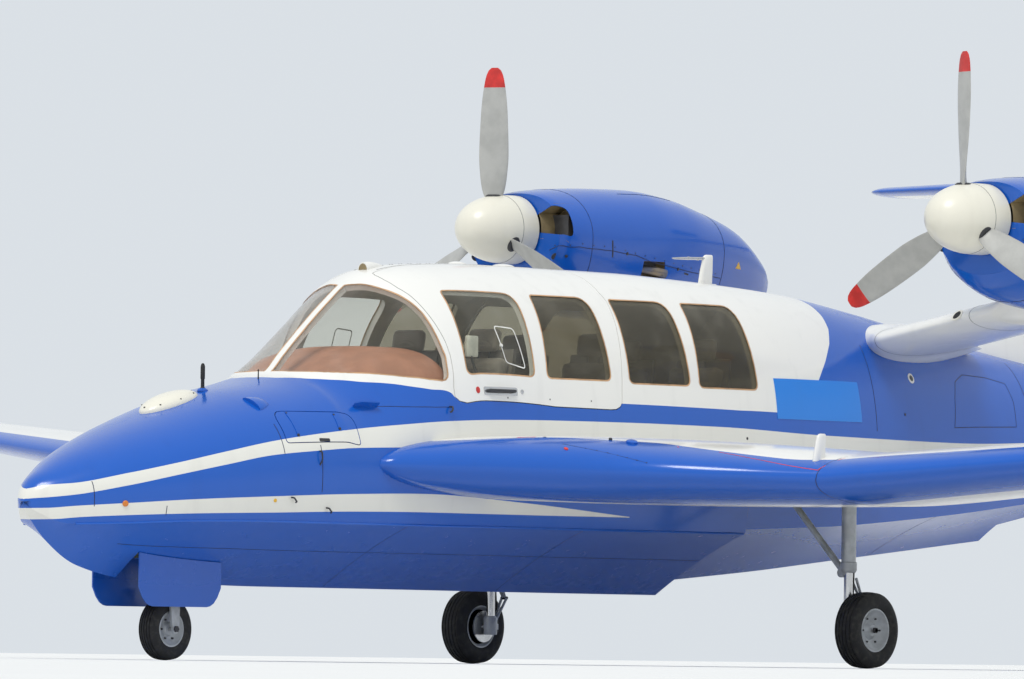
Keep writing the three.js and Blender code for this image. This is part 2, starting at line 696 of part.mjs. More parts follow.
// Wheel with tyre, about an axle across the aircraft.
function wheelSolid(s, y, radius, width) {
  const half = width / 2;
  const rim = radius * 0.52;
  const bore = AXLE_RADIUS + BORE_GAP;
  const profile = [
    [bore, -half * 0.6], [rim, -half * 0.7], [radius * 0.8, -half],
    [radius, -half * 0.5], [radius, half * 0.5], [radius * 0.8, half], [rim, half * 0.7],
    [bore, half * 0.6], [bore, -half * 0.6],
  ].map(([r, w]) => new THREE.Vector2(r, w));
  const geometry = new THREE.LatheGeometry(profile, WHEEL_SIDES);
  const centre = at(s, y, axleHeight(radius));
  geometry.rotateY(Math.PI / WHEEL_SIDES);
  geometry.translate(centre.x, centre.y, centre.z);
  return toSolid(geometry);
}

// Nose gear: leg, steered fork and wheel
const noseAxle = at(NOSE_LEG_S + NOSE_TRAIL, 0, axleHeight(NOSE_WHEEL_RADIUS));
const FORK_HALF = NOSE_WHEEL_WIDTH / 2 + 8;
const FORK_TOP_Z = GROUND_Z + NOSE_WHEEL_RADIUS * 2 + 25;
const SLEEVE_Z = FORK_TOP_Z + 70;
const FORK_PLATE = 16;
const FORK_LOW_Z = GROUND_Z + NOSE_WHEEL_RADIUS - 28;
const LEG_RADIUS = 34;
const STEM_RADIUS = 20;
const BRACE_RADIUS = 13;
const forkOuter = FORK_HALF + FORK_PLATE;
const stemBore = bar(
  at(NOSE_LEG_S, 0, SLEEVE_Z - 10), at(NOSE_LEG_S, 0, SLEEVE_Z + 60),
  STEM_RADIUS + BORE_GAP, undefined, BORE_SIDES);
const noseLeg = bar(at(NOSE_LEG_S, 0, SLEEVE_Z), at(NOSE_LEG_S, 0, BAY.top - FIT), LEG_RADIUS)
  .add(bar(
    at(NOSE_LEG_S, 0, SLEEVE_Z + 120), at(BAY.fore + 45, 0, BAY.top - 14), BRACE_RADIUS, undefined, 10))
  .subtract(stemBore);
function forkPlate(y0) {
  return block(NOSE_LEG_S + 5, NOSE_LEG_S + 65, y0, y0 + FORK_PLATE, FORK_LOW_Z, FORK_TOP_Z + 5);
}
const noseFork = bar(
  at(NOSE_LEG_S, 0, FORK_TOP_Z), at(NOSE_LEG_S, 0, SLEEVE_Z + 50), STEM_RADIUS, undefined, BORE_SIDES)
  .add(block(NOSE_LEG_S - 40, NOSE_LEG_S + 70, -forkOuter, forkOuter, FORK_TOP_Z - 5, FORK_TOP_Z + 20))
  .add(forkPlate(FORK_HALF))
  .add(forkPlate(-forkOuter))
  .add(bar(
    noseAxle.clone().setY(-FORK_HALF - 4), noseAxle.clone().setY(FORK_HALF + 4), AXLE_RADIUS));
add('nose_leg', noseLeg, paint.metal);
add('nose_fork', noseFork, paint.metal);
add('nose_wheel', wheelSolid(NOSE_LEG_S + NOSE_TRAIL, 0, NOSE_WHEEL_RADIUS, NOSE_WHEEL_WIDTH), paint.tyre);
const noseDoor = block(BAY.fore, BAY.aft, BAY.half + 1, BAY.half + 11, -545, -200).subtract(hullGrown);
addPair('nose_gear_door', noseDoor, paint.blue);

// Main gear: leg with its door panel, axle stub, and wheel
const mainAxle = at(MAIN_S, MAIN_WHEEL_Y, axleHeight(MAIN_WHEEL_RADIUS));
const mainLeg = bar(mainAxle.clone().setY(MAIN_LEG_Y), at(MAIN_S, MAIN_LEG_Y, 205 - FIT), 38)
  .add(bar(mainAxle.clone().setY(MAIN_LEG_Y), mainAxle.clone().setY(MAIN_WHEEL_Y + 70), AXLE_RADIUS))
  .add(bar(at(MAIN_S, MAIN_LEG_Y, -330), at(MAIN_S, 800, 190), 18, 18, 10));
addPair('main_leg', mainLeg, paint.metal);
addPair('main_wheel', wheelSolid(MAIN_S, MAIN_WHEEL_Y, MAIN_WHEEL_RADIUS, MAIN_WHEEL_WIDTH), paint.tyre);

// Seats and instrument panel
const SEAT_S = [3000, 3900, 4800];
const SEAT_NAMES = ['front', 'middle', 'rear'];
const SEAT_Y = 272;
const SEAT_WIDTH = 400;
function seatOutline(s) {
  return [
    [s - 190, FLOOR_Z + FIT], [s - 190, 180], [s - 250, 210], [s - 250, 300], [s + 150, 270],
    [s + 230, 840], [s + 250, 1000], [s + 330, 1000], [s + 310, 800], [s + 240, 180],
    [s + 150, 180], [s + 150, FLOOR_Z + FIT],
  ];
}
SEAT_S.forEach((s, i) => {
  const shape = sidePrism(seatOutline(s), SEAT_Y - SEAT_WIDTH / 2, SEAT_Y + SEAT_WIDTH / 2);
  addPair(`seat_${SEAT_NAMES[i]}`, shape, paint.seat);
});
const panel = sidePrism([
  [2060, FLOOR_Z + FIT], [2060, 640], [2150, 690], [2430, 740], [2470, 700], [2420, 400], [2330, 360],
  [2330, FLOOR_Z + FIT],
], -560, 560).intersect(hullBody(CABIN_FORE_S + 1, CABIN_AFT_S - 1, WALL + FIT));
add('instrument_panel', panel, paint.trim);

// Antenna fairing on the bow, and the air data mast on the roof
const fairing = new THREE.SphereGeometry(1, 18, 8);
fairing.scale(205, 105, 62);
fairing.rotateY(THREE.MathUtils.degToRad(15));
const fairingAt = at(1090, 0, 520);
fairing.translate(fairingAt.x, fairingAt.y, fairingAt.z);
add('antenna_fairing', toSolid(fairing).subtract(hullGrown), paint.cream);
const MAST_S = 5430;
const mast = loft([
  [1200, MAST_S - 70, MAST_S + 70], [1440, MAST_S - 5, MAST_S + 80], [1462, MAST_S + 10, MAST_S + 80],
].map(([z, lead, trail]) => aerofoilRing(lead, trail, 30).map(([s, h]) => at(s, -h, z))))
  .add(bar(at(MAST_S + 20, 0, 1440), at(MAST_S - 270, 0, 1432), 8, 6, 10))
  .subtract(hullGrown);
add('air_data_mast', mast, paint.white);

export default aircraft;
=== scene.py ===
import json
import math

import bmesh
import bpy
import numpy as np
from mathutils import Matrix, Vector
from mathutils.geometry import delaunay_2d_cdt
from mathutils.kdtree import KDTree


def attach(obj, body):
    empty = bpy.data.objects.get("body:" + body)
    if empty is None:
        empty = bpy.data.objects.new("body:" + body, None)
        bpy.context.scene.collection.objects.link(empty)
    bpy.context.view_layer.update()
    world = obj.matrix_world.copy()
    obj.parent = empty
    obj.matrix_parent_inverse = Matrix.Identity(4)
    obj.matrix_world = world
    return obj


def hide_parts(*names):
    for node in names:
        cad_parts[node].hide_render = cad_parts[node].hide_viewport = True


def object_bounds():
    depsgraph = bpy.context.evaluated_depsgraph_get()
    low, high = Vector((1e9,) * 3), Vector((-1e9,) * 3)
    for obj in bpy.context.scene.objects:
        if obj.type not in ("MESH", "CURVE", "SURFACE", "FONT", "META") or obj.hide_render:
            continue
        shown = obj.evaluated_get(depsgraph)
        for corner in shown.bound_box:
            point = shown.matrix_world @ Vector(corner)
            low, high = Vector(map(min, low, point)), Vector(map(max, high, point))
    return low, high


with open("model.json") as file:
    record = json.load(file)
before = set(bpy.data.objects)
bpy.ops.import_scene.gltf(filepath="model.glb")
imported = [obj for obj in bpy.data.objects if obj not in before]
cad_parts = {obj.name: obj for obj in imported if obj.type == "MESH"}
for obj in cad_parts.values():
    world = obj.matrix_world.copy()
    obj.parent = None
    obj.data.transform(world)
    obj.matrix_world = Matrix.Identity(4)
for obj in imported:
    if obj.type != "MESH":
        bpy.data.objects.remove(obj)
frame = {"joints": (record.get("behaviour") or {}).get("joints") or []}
CAD_LOW, CAD_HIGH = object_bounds()

bl_info = {
    "name": "Amphibious flying boat",
    "version": (1, 0, 0),
    "blender": (4, 5, 0),
    "location": "3D View > Sidebar > Flying Boat",
    "description": "Dresses the frame of a twin-engined amphibious flying boat",
    "category": "Object",
}

# Places are given as station, side and height in metres. A station runs aft from the nose tip,
# a side runs to port from the middle, and a height runs up from the nose tip.
NOSE_X = CAD_HIGH.x
NOSE_HEIGHT = 0.820
SIDES = (("left", 1), ("right", -1))
JOINTS = {joint["name"]: joint for joint in frame["joints"]}


def place(s, y, z):
    """Points in the frame from stations, sides and heights."""
    return np.stack(np.broadcast_arrays(NOSE_X - np.asarray(s, float), y, NOSE_HEIGHT + np.asarray(z)), -1)


def joint_place(name):
    """Station, side and height of a joint."""
    x, y, z = JOINTS[name]["pos_m"]
    return NOSE_X - x, y, z - NOSE_HEIGHT


# Curves and surfaces

class Columns:
    """Smooth columns over a rising first column, with no overshoot between rows."""

    def __init__(self, rows, warp=None, straight=None):
        table = np.array(rows, float)
        self.warp = warp or (lambda x: x)
        self.x = self.warp(table[:, 0])
        self.y = table[:, 1:]
        step = np.diff(self.x)[:, None]
        rise = np.diff(self.y, axis=0) / step
        fore, aft = 2 * step[1:] + step[:-1], step[1:] + 2 * step[:-1]
        with np.errstate(divide="ignore", invalid="ignore"):
            mean = (fore + aft) / (fore / rise[:-1] + aft / rise[1:])
        inner = np.where(rise[:-1] * rise[1:] > 0, mean, 0)
        slope = np.vstack([rise[:1], inner, rise[-1:]])
        self.start, self.end = slope[:-1].copy(), slope[1:].copy()
        if straight:
            flat = (self.x[:-1] >= straight[0] - 1e-9) & (self.x[1:] <= straight[1] + 1e-9)
            self.start[flat] = rise[flat]
            self.end[flat] = rise[flat]

    def __call__(self, x):
        x = np.clip(self.warp(np.asarray(x, float)), self.x[0], self.x[-1])
        i = np.clip(np.searchsorted(self.x, x, side="right") - 1, 0, len(self.x) - 2)
        width = (self.x[i + 1] - self.x[i])[..., None]
        t = (x - self.x[i])[..., None] / width
        low = (2 * t**3 - 3 * t**2 + 1) * self.y[i] + (t**3 - 2 * t**2 + t) * width * self.start[i]
        high = (3 * t**2 - 2 * t**3) * self.y[i + 1] + (t**3 - t**2) * width * self.end[i]
        return np.moveaxis(low + high, -1, 0)


class Surface:
    """A surface over two parameters. Its outward side is first direction x second direction."""

    reach = (1.0, 1.0)

    def at(self, u, v):
        raise NotImplementedError

    def plane(self, u, v):
        return np.stack([np.asarray(u) * self.reach[0], np.asarray(v) * self.reach[1]], -1)

    def unplane(self, flat):
        return flat[..., 0] / self.reach[0], flat[..., 1] / self.reach[1]

    def slopes(self, u, v, nudge=1e-4):
        """Directions along the surface's two coordinates."""
        along = (self.at(u + nudge, v) - self.at(u - nudge, v)) / (2 * nudge)
        across = (self.at(u, v + nudge) - self.at(u, v - nudge)) / (2 * nudge)
        return along, across

    def normal(self, u, v):
        across = np.cross(*self.slopes(np.asarray(u, float), np.asarray(v, float)))
        return across / np.maximum(np.linalg.norm(across, axis=-1, keepdims=True), 1e-12)


# Fuselage sections from the nose. The upper part's columns are station, belt height,
# belt half-breadth, top height and roundness, where 2 is an ellipse.
HULL_UPPER = (
    (0.000, -0.010, 0.000, -0.010, 2.00),
    (0.060, 0.005, 0.100, 0.108, 2.00),
    (0.170, 0.025, 0.185, 0.174, 2.00),
    (0.400, 0.065, 0.325, 0.285, 2.08),
    (0.800, 0.115, 0.478, 0.434, 2.18),
    (1.300, 0.165, 0.588, 0.585, 2.25),
    (1.780, 0.215, 0.645, 0.688, 2.30),
    (1.850, 0.220, 0.650, 0.712, 2.15),
    (1.950, 0.230, 0.656, 0.802, 1.85),
    (2.100, 0.245, 0.664, 0.935, 1.72),
    (2.300, 0.262, 0.671, 1.098, 1.78),
    (2.450, 0.276, 0.677, 1.205, 1.90),
    (2.600, 0.288, 0.682, 1.278, 2.12),
    (2.850, 0.300, 0.687, 1.316, 2.35),
    (3.400, 0.305, 0.690, 1.336, 2.45),
    (4.500, 0.310, 0.686, 1.330, 2.45),
    (5.050, 0.320, 0.672, 1.312, 2.42),
    (5.900, 0.335, 0.625, 1.266, 2.30),
    (6.500, 0.350, 0.565, 1.192, 2.25),
    (7.200, 0.365, 0.478, 1.085, 2.20),
    (7.900, 0.390, 0.385, 0.985, 2.10),
    (8.700, 0.450, 0.260, 0.895, 2.10),
    (9.590, 0.570, 0.084, 0.818, 2.00),
)
# The bottom is in three lengths with a step between them.
# Columns: station, keel height, chine height, chine half-breadth
HULL_LOWER = (
    (
        (0.000, -0.010, -0.010, 0.000),
        (0.060, -0.110, -0.078, 0.086),
        (0.170, -0.210, -0.120, 0.162),
        (0.400, -0.332, -0.113, 0.298),
        (0.800, -0.400, -0.095, 0.445),
        (1.300, -0.418, -0.088, 0.550),
        (1.780, -0.425, -0.090, 0.608),
        (2.600, -0.426, -0.090, 0.641),
        (3.400, -0.428, -0.090, 0.650),
        (4.500, -0.430, -0.090, 0.648),
        (5.050, -0.430, -0.090, 0.640),
    ),
    (
        (5.060, -0.355, -0.068, 0.632),
        (5.900, -0.285, -0.035, 0.590),
        (6.500, -0.225, 0.005, 0.535),
        (7.200, -0.155, 0.060, 0.450),
        (7.900, -0.085, 0.125, 0.345),
    ),
    (
        (7.910, -0.020, 0.150, 0.320),
        (8.700, 0.130, 0.250, 0.200),
        (9.590, 0.330, 0.370, 0.045),
    ),
)
HULL_STEPS = tuple((fore[-1][0], aft[0][0]) for fore, aft in zip(HULL_LOWER, HULL_LOWER[1:]))
HULL_END = HULL_UPPER[-1][0]
HULL_CAP = 0.012  # the tail end's rounding
HULL_CAP_Z = 0.590
CHINE, BELT, CROWN = 1.0, 2.0, 3.0


class Hull(Surface):
    """Port half of the fuselage over the station and a girth: 0 keel, 1 chine, 2 belt, 3 crown."""

    reach = (1.0, 0.75)
    nose_spread = 0.5  # extra room for the nose in the flat pattern

    def __init__(self):
        self.upper = Columns(HULL_UPPER, np.sqrt)
        self.lower = [Columns(rows, np.sqrt) for rows in HULL_LOWER]

    def plane(self, u, v):
        u = np.asarray(u, float)
        return np.stack([u + self.nose_spread * np.sqrt(u), np.asarray(v) * self.reach[1] + 0 * u], -1)

    def unplane(self, flat):
        root = (np.sqrt(self.nose_spread**2 + 4 * np.maximum(flat[..., 0], 0)) - self.nose_spread) / 2
        return root**2, flat[..., 1] / self.reach[1]

    def rows(self, s):
        upper = self.upper(s)
        lower = self.lower[0](s)
        for (fore, aft), columns in zip(HULL_STEPS, self.lower[1:]):
            t = np.clip((s - fore) / (aft - fore), 0, 1)
            lower = lower * (1 - t) + columns(s) * t
        return upper, lower

    def at(self, u, v):
        s, v = np.broadcast_arrays(np.maximum(np.asarray(u, float), 0), np.asarray(v, float))
        (belt_z, belt_y, top_z, power), (keel_z, chine_z, chine_y) = self.rows(np.minimum(s, HULL_END))
        low, side = np.clip(v, 0, 1), np.clip(v - CHINE, 0, 1)
        angle = np.clip(v - BELT, 0, 1) * np.pi / 2
        y = chine_y * low + (belt_y - chine_y) * (2 * side - side**2)
        z = keel_z + (chine_z - keel_z) * (1.25 * low - 0.25 * low**2) + (belt_z - chine_z) * side
        over = v > BELT
        y = np.where(over, belt_y * np.maximum(np.cos(angle), 0) ** (2 / power), y)
        z = np.where(over, belt_z + (top_z - belt_z) * np.sin(angle) ** (2 / power), z)
        past = np.clip((s - HULL_END) / HULL_CAP, 0, 1)
        shrink = np.sqrt(1 - past**2)
        return place(s, y * shrink, HULL_CAP_Z + (z - HULL_CAP_Z) * shrink)

    def normal(self, u, v):
        """Outward direction, taken just behind the nose's very tip."""
        return super().normal(np.maximum(np.asarray(u, float), 0.003), v)

    def girth_at_height(self, s, z):
        """Girth of a point of the section at a height."""
        (belt_z, _, top_z, power), (keel_z, chine_z, _) = self.rows(np.asarray(s, float))
        tiny = 1e-9
        share = np.clip((z - belt_z) / (top_z - belt_z + tiny), 0, 1)
        over = BELT + np.arcsin(share ** (power / 2)) * 2 / np.pi
        beside = CHINE + np.clip((z - chine_z) / (belt_z - chine_z + tiny), 0, 1)
        share = np.clip((z - keel_z) / (chine_z - keel_z + tiny), 0, 1)
        under = 2.5 - np.sqrt(6.25 - 4 * share)
        return np.where(z > belt_z, over, np.where(z > chine_z, beside, under))

    def girth_at_side(self, s, y):
        """Girth of a point of the roof at a distance from the middle."""
        (_, belt_y, _, power), _ = self.rows(np.asarray(s, float))
        return BELT + np.arccos(np.clip(y / belt_y, 0, 1) ** (power / 2)) * 2 / np.pi

    def by_height(self, points):
        """Stations and girths of stations and heights."""
        s, z = np.array(points, float).T
        return np.stack([s, self.girth_at_height(s, z)], -1)

    def by_side(self, points):
        """Stations and girths of stations and sides."""
        s, y = np.array(points, float).T
        return np.stack([s, self.girth_at_side(s, y)], -1)


HULL = Hull()


# Shells: points, triangles, one finish number a triangle and a normal a corner

class Shell:
    """Triangles on their way to a mesh. A zero corner normal means that the mesh's own is used."""

    def __init__(self, points, faces, finish=0, corners=None):
        self.points = np.asarray(points, float).reshape(-1, 3)
        self.faces = np.asarray(faces, int).reshape(-1, 3)
        count = len(self.faces)
        self.finish = np.broadcast_to(np.asarray(finish, int), count).copy()
        self.corners = np.zeros((count, 3, 3)) if corners is None else np.asarray(corners, float)

    def mirrored(self):
        """The same shell on the other side of the middle plane."""
        flip = np.array([1.0, -1.0, 1.0])
        order = [0, 2, 1]
        return Shell(self.points * flip, self.faces[:, order], self.finish, self.corners[:, order] * flip)

    def moved(self, offset):
        """Copy moved by an offset."""
        return Shell(self.points + np.asarray(offset, float), self.faces, self.finish, self.corners)

    def turned(self, matrix, centre):
        """Turned about a centre by a 3 x 3 matrix."""
        turn = np.array(matrix, float)
        centre = np.asarray(centre, float)
        return Shell((self.points - centre) @ turn.T + centre, self.faces, self.finish, self.corners @ turn.T)

    def painted(self, finish):
        """Copy whose faces all have one finish number."""
        return Shell(self.points, self.faces, finish, self.corners)

    def normals(self):
        """Average normal at each point."""
        a, b, c = (self.points[self.faces[:, i]] for i in range(3))
        flat = np.cross(b - a, c - a)
        total = np.zeros_like(self.points)
        for i in range(3):
            np.add.at(total, self.faces[:, i], flat)
        return total / np.maximum(np.linalg.norm(total, axis=1, keepdims=True), 1e-15)

    def welded(self, grain=2e-6):
        """Points that coincide become one, and faces without area go."""
        keys = np.round(self.points / grain).astype(np.int64)
        _, first, back = np.unique(keys, axis=0, return_index=True, return_inverse=True)
        faces = back.reshape(-1)[self.faces]
        kept = (faces[:, 0] != faces[:, 1]) & (faces[:, 1] != faces[:, 2]) & (faces[:, 2] != faces[:, 0])
        return Shell(self.points[first], faces[kept], self.finish[kept], self.corners[kept])

    def outward(self):
        """Faces of a closed shell turned to point out."""
        a, b, c = (self.points[self.faces[:, i]] for i in range(3))
        if np.einsum("ij,ij->i", a, np.cross(b, c)).sum() < 0:
            return Shell(self.points, self.faces[:, [0, 2, 1]], self.finish, self.corners[:, [0, 2, 1]])
        return self

    def border(self):
        """Edges with one face, in that face's direction."""
        edges = np.vstack([self.faces[:, [0, 1]], self.faces[:, [1, 2]], self.faces[:, [2, 0]]])
        size = len(self.points)
        key, reverse = edges[:, 0] * size + edges[:, 1], edges[:, 1] * size + edges[:, 0]
        return edges[~np.isin(key, reverse)]

    def thickened(self, depth, inner=None, wall=None):
        """A closed slab: this sheet, the same sheet depth further in, and walls along its border."""
        inside = self.points - self.normals() * depth
        count = len(self.points)
        edge = self.border()
        walls = np.vstack([
            np.stack([edge[:, 0], edge[:, 0] + count, edge[:, 1]], -1),
            np.stack([edge[:, 1], edge[:, 0] + count, edge[:, 1] + count], -1),
        ])
        order = [0, 2, 1]
        faces = np.vstack([self.faces, self.faces[:, order] + count, walls])
        under = self.finish if inner is None else np.full(len(self.faces), inner)
        finish = np.concatenate([self.finish, under, np.full(len(walls), 0 if wall is None else wall)])
        corners = np.vstack([self.corners, -self.corners[:, order], np.zeros((len(walls), 3, 3))])
        return Shell(np.vstack([self.points, inside]), faces, finish, corners)

    def offset(self, distance):
        return Shell(self.points + self.normals() * distance, self.faces, self.finish, self.corners)


def joined(*shells):
    """Several shells as one."""
    starts = np.cumsum([0] + [len(shell.points) for shell in shells[:-1]])
    return Shell(
        np.vstack([shell.points for shell in shells]),
        np.vstack([shell.faces + start for shell, start in zip(shells, starts)]),
        np.concatenate([shell.finish for shell in shells]),
        np.vstack([shell.corners for shell in shells]))


def dense(surface, points, step=0.012, closed=False):
    """Path with added points, so that no stretch of it is longer than a step."""
    path = np.array(points, float)
    if closed:
        path = np.vstack([path, path[:1]])
    out = [path[:1]]
    for start, end in zip(path, path[1:]):
        length = np.linalg.norm(surface.at(*end) - surface.at(*start))
        share = np.linspace(0, 1, max(1, math.ceil(length / step)) + 1)[1:, None]
        out.append(start + (end - start) * share)
    made = np.vstack(out)
    return made[:-1] if closed else made


def inside(points, loop):
    """Which flat points lie in a closed loop."""
    (ax, ay), (bx, by) = loop.T, np.roll(loop, -1, 0).T
    found = np.zeros(len(points), bool)
    chunk = 4000
    for start in range(0, len(points), chunk):
        x, y = points[start:start + chunk, :1], points[start:start + chunk, 1:]
        crosses = (ay > y) != (by > y)
        with np.errstate(divide="ignore", invalid="ignore"):
            reach = ax + (y - ay) * (bx - ax) / (by - ay)
        found[start:start + chunk] = (crosses & (x < reach)).sum(1) % 2 == 1
    return found


def trimmed(surface, columns, rows, outline, holes=(), zones=(), creases=(), clear=0.011):
    """Sheet of the surface in an outline and out of holes. Each zone is a finish number and an outline."""
    loops = [outline, *holes, *(loop for _, loop in zones)]
    flat_loops = [surface.plane(loop[:, 0], loop[:, 1]) for loop in loops]
    flat_lines = [surface.plane(line[:, 0], line[:, 1]) for line in creases]
    points, edges = [], []
    for flat, closed in [(f, True) for f in flat_loops] + [(f, False) for f in flat_lines]:
        start = len(points)
        points += flat.tolist()
        count = len(flat)
        edges += [(start + i, start + (i + 1) % count) for i in range(count if closed else count - 1)]
    tree = KDTree(len(points))
    for i, point in enumerate(points):
        tree.insert((point[0], point[1], 0), i)
    tree.balance()
    u, v = np.meshgrid(columns, rows)
    grid = surface.plane(u.ravel(), v.ravel())
    grid = grid[inside(grid, flat_loops[0])]
    near = np.array([tree.find((x, y, 0))[2] for x, y in grid])
    points += grid[near > clear].tolist()
    made, _, faces, *_ = delaunay_2d_cdt([Vector(p) for p in points], edges, [], 0, 1e-7)
    flat = np.array([(p.x, p.y) for p in made])
    faces = np.array(faces, int)
    middle = flat[faces].mean(1)
    kept = inside(middle, flat_loops[0])
    for loop in flat_loops[1:1 + len(holes)]:
        kept &= ~inside(middle, loop)
    faces, middle = faces[kept], middle[kept]
    finish = np.zeros(len(faces), int)
    for (number, _), loop in zip(zones, flat_loops[1 + len(holes):]):
        finish[inside(middle, loop)] = number
    toward = 0.03
    u, v = surface.unplane(flat[faces] * (1 - toward) + middle[:, None] * toward)
    corners = surface.normal(u, v)
    used, back = np.unique(faces, return_inverse=True)
    return Shell(surface.at(*surface.unplane(flat[used])), back.reshape(faces.shape), finish, corners)


def shifted(surface, loop, distance, closed=True):
    """Loop moved sideways over the surface, to its left as seen from outside."""
    before, after = np.roll(loop, 1, 0), np.roll(loop, -1, 0)
    if not closed:
        before[0], after[-1] = loop[0], loop[-1]
    ahead = surface.at(*after.T) - surface.at(*before.T)
    ahead /= np.maximum(np.linalg.norm(ahead, axis=1, keepdims=True), 1e-12)
    aside = np.cross(surface.normal(*loop.T), ahead) * distance
    along, across = surface.slopes(*loop.T)
    basis = np.stack([along, across], -1)
    gram = np.einsum("nij,nik->njk", basis, basis) + np.eye(2) * 1e-12
    right = np.einsum("nij,ni->nj", basis, aside)
    return loop + np.linalg.solve(gram, right[..., None])[..., 0]


def turns_left(loop):
    """Whether a flat loop runs against the clock."""
    x, y = loop.T
    return (x * np.roll(y, -1) - y * np.roll(x, -1)).sum() > 0


def inset(surface, loop, distance):
    """Closed loop made smaller by a distance over the surface."""
    sign = 1 if turns_left(loop) else -1
    return shifted(surface, loop, sign * distance)


def rounded(corners, radii, steps=6):
    """Closed outline through corners, each cut by a curve that starts a radius away from it."""
    corners = np.array(corners, float)
    count = len(corners)
    radii = np.broadcast_to(radii, count)
    out = []
    for i, corner in enumerate(corners):
        legs = [corners[i - 1] - corner, corners[(i + 1) % count] - corner]
        start, end = (corner + leg / np.linalg.norm(leg) * radii[i] for leg in legs)
        for t in np.linspace(0, 1, steps):
            out.append((1 - t) ** 2 * start + 2 * t * (1 - t) * corner + t**2 * end)
    return np.array(out)


def loft(rings, cap=True, closed=True, finish=0):
    """Shell through rings of as many points each."""
    rings = np.asarray(rings, float)
    count, size = rings.shape[:2]
    span = size if closed else size - 1
    i, j = np.meshgrid(np.arange(count - 1), np.arange(span), indexing="ij")
    a, b = i * size + j, i * size + (j + 1) % size
    c, d = a + size, b + size
    faces = np.vstack([np.stack([a, b, d], -1).reshape(-1, 3), np.stack([a, d, c], -1).reshape(-1, 3)])
    points = rings.reshape(-1, 3)
    if cap:
        middles = rings[[0, -1]].mean(1)
        total = len(points)
        points = np.vstack([points, middles])
        ring = np.arange(size)
        following = (ring + 1) % size
        last = (count - 1) * size
        faces = np.vstack([
            faces,
            np.stack([np.full(size, total), following, ring], -1),
            np.stack([np.full(size, total + 1), last + ring, last + following], -1),
        ])
    shell = Shell(points, faces, finish)
    return shell.outward() if cap else shell


def smooth_path(points, count):
    """Even curve through a few points."""
    points = np.array(points, float)
    gaps = np.linalg.norm(np.diff(points, axis=0), axis=1)
    where = np.concatenate([[0], np.cumsum(gaps)])
    return Columns(np.column_stack([where, points]))(np.linspace(0, where[-1], count)).T


def circle(sides, radius=1.0, start=0.0):
    """Points round the origin."""
    angle = np.arange(sides) * 2 * np.pi / sides + start
    return np.stack([np.cos(angle), np.sin(angle)], -1) * radius


def tube(path, radius, sides=12, cap=True, finish=0):
    """Round bar along a path. The radius is a number or one number a point."""
    path = np.array(path, float)
    radius = np.broadcast_to(radius, len(path))
    ahead = np.gradient(path, axis=0)
    ahead /= np.maximum(np.linalg.norm(ahead, axis=1, keepdims=True), 1e-12)
    side = np.cross(ahead[0], [0.0, 0.0, 1.0])
    if np.linalg.norm(side) < 0.1:
        side = np.cross(ahead[0], [0.0, 1.0, 0.0])
    rings = []
    for point, direction, r in zip(path, ahead, radius):
        side = side - direction * (side @ direction)
        side /= np.linalg.norm(side)
        up = np.cross(direction, side)
        ring = circle(sides, r)
        rings.append(point + ring[:, :1] * side + ring[:, 1:] * up)
    return loft(rings, cap, finish=finish)


def lathe(profile, centre, axis, sides=48, finish=0):
    """Closed turning of a profile of radii and distances along an axis."""
    axis = np.asarray(axis, float) / np.linalg.norm(axis)
    side = np.cross(axis, [0.0, 0.0, 1.0] if abs(axis[2]) < 0.9 else [0.0, 1.0, 0.0])
    side /= np.linalg.norm(side)
    up = np.cross(axis, side)
    ring = circle(sides)
    rings = [
        np.asarray(centre) + axis * along + r * (ring[:, :1] * side + ring[:, 1:] * up)
        for r, along in profile
    ]
    return loft(rings, cap=True, finish=finish).welded()


def block(low, high, bevel=0.004, finish=0, segments=2):
    """Box with rounded edges between two corners of station, side and height."""
    a, b = place(*low), place(*high)
    made = bmesh.new()
    bmesh.ops.create_cube(made, size=1)
    size = np.abs(b - a)
    bmesh.ops.scale(made, vec=size.tolist(), verts=made.verts)
    bmesh.ops.bevel(
        made, geom=made.edges[:], offset=min(bevel, size.min() * 0.45), segments=segments,
        affect="EDGES", profile=0.5)
    bmesh.ops.triangulate(made, faces=made.faces[:])
    made.verts.ensure_lookup_table()
    points = np.array([v.co for v in made.verts]) + (a + b) / 2
    faces = [[v.index for v in f.verts] for f in made.faces]
    made.free()
    return Shell(points, faces, finish)


def ribbon(surface, path, width, lift=0.0005, finish=0, step=0.015, closed=False):
    """Flat strip that lies on a surface along a path of its parameters."""
    path = dense(surface, path, step, closed)
    if closed:
        path = np.vstack([path, path[:1]])
    left = shifted(surface, path, width / 2, closed=False)
    right = shifted(surface, path, -width / 2, closed=False)
    if closed:
        left[-1], right[-1] = left[0], right[0]
    rings = []
    for side, height in ((left, -0.0015), (left, lift), (right, lift), (right, -0.0015)):
        rings.append(surface.at(*side.T) + surface.normal(*side.T) * height)
    rings = np.array(rings).transpose(1, 0, 2)
    return loft(rings, cap=not closed, finish=finish)


# Finishes

class Wire:
    """A shader socket that takes part in Python arithmetic."""

    def __init__(self, recipe, socket):
        self.recipe = recipe
        self.socket = socket

    def combined(self, operation, first, second):
        return self.recipe.node("ShaderNodeMath", {"operation": operation}, {0: first, 1: second})

    def __add__(self, other):
        return self.combined("ADD", self, other)

    def __sub__(self, other):
        return self.combined("SUBTRACT", self, other)

    def __rsub__(self, other):
        return self.combined("SUBTRACT", other, self)

    def __mul__(self, other):
        return self.combined("MULTIPLY", self, other)

    __radd__ = __add__
    __rmul__ = __mul__


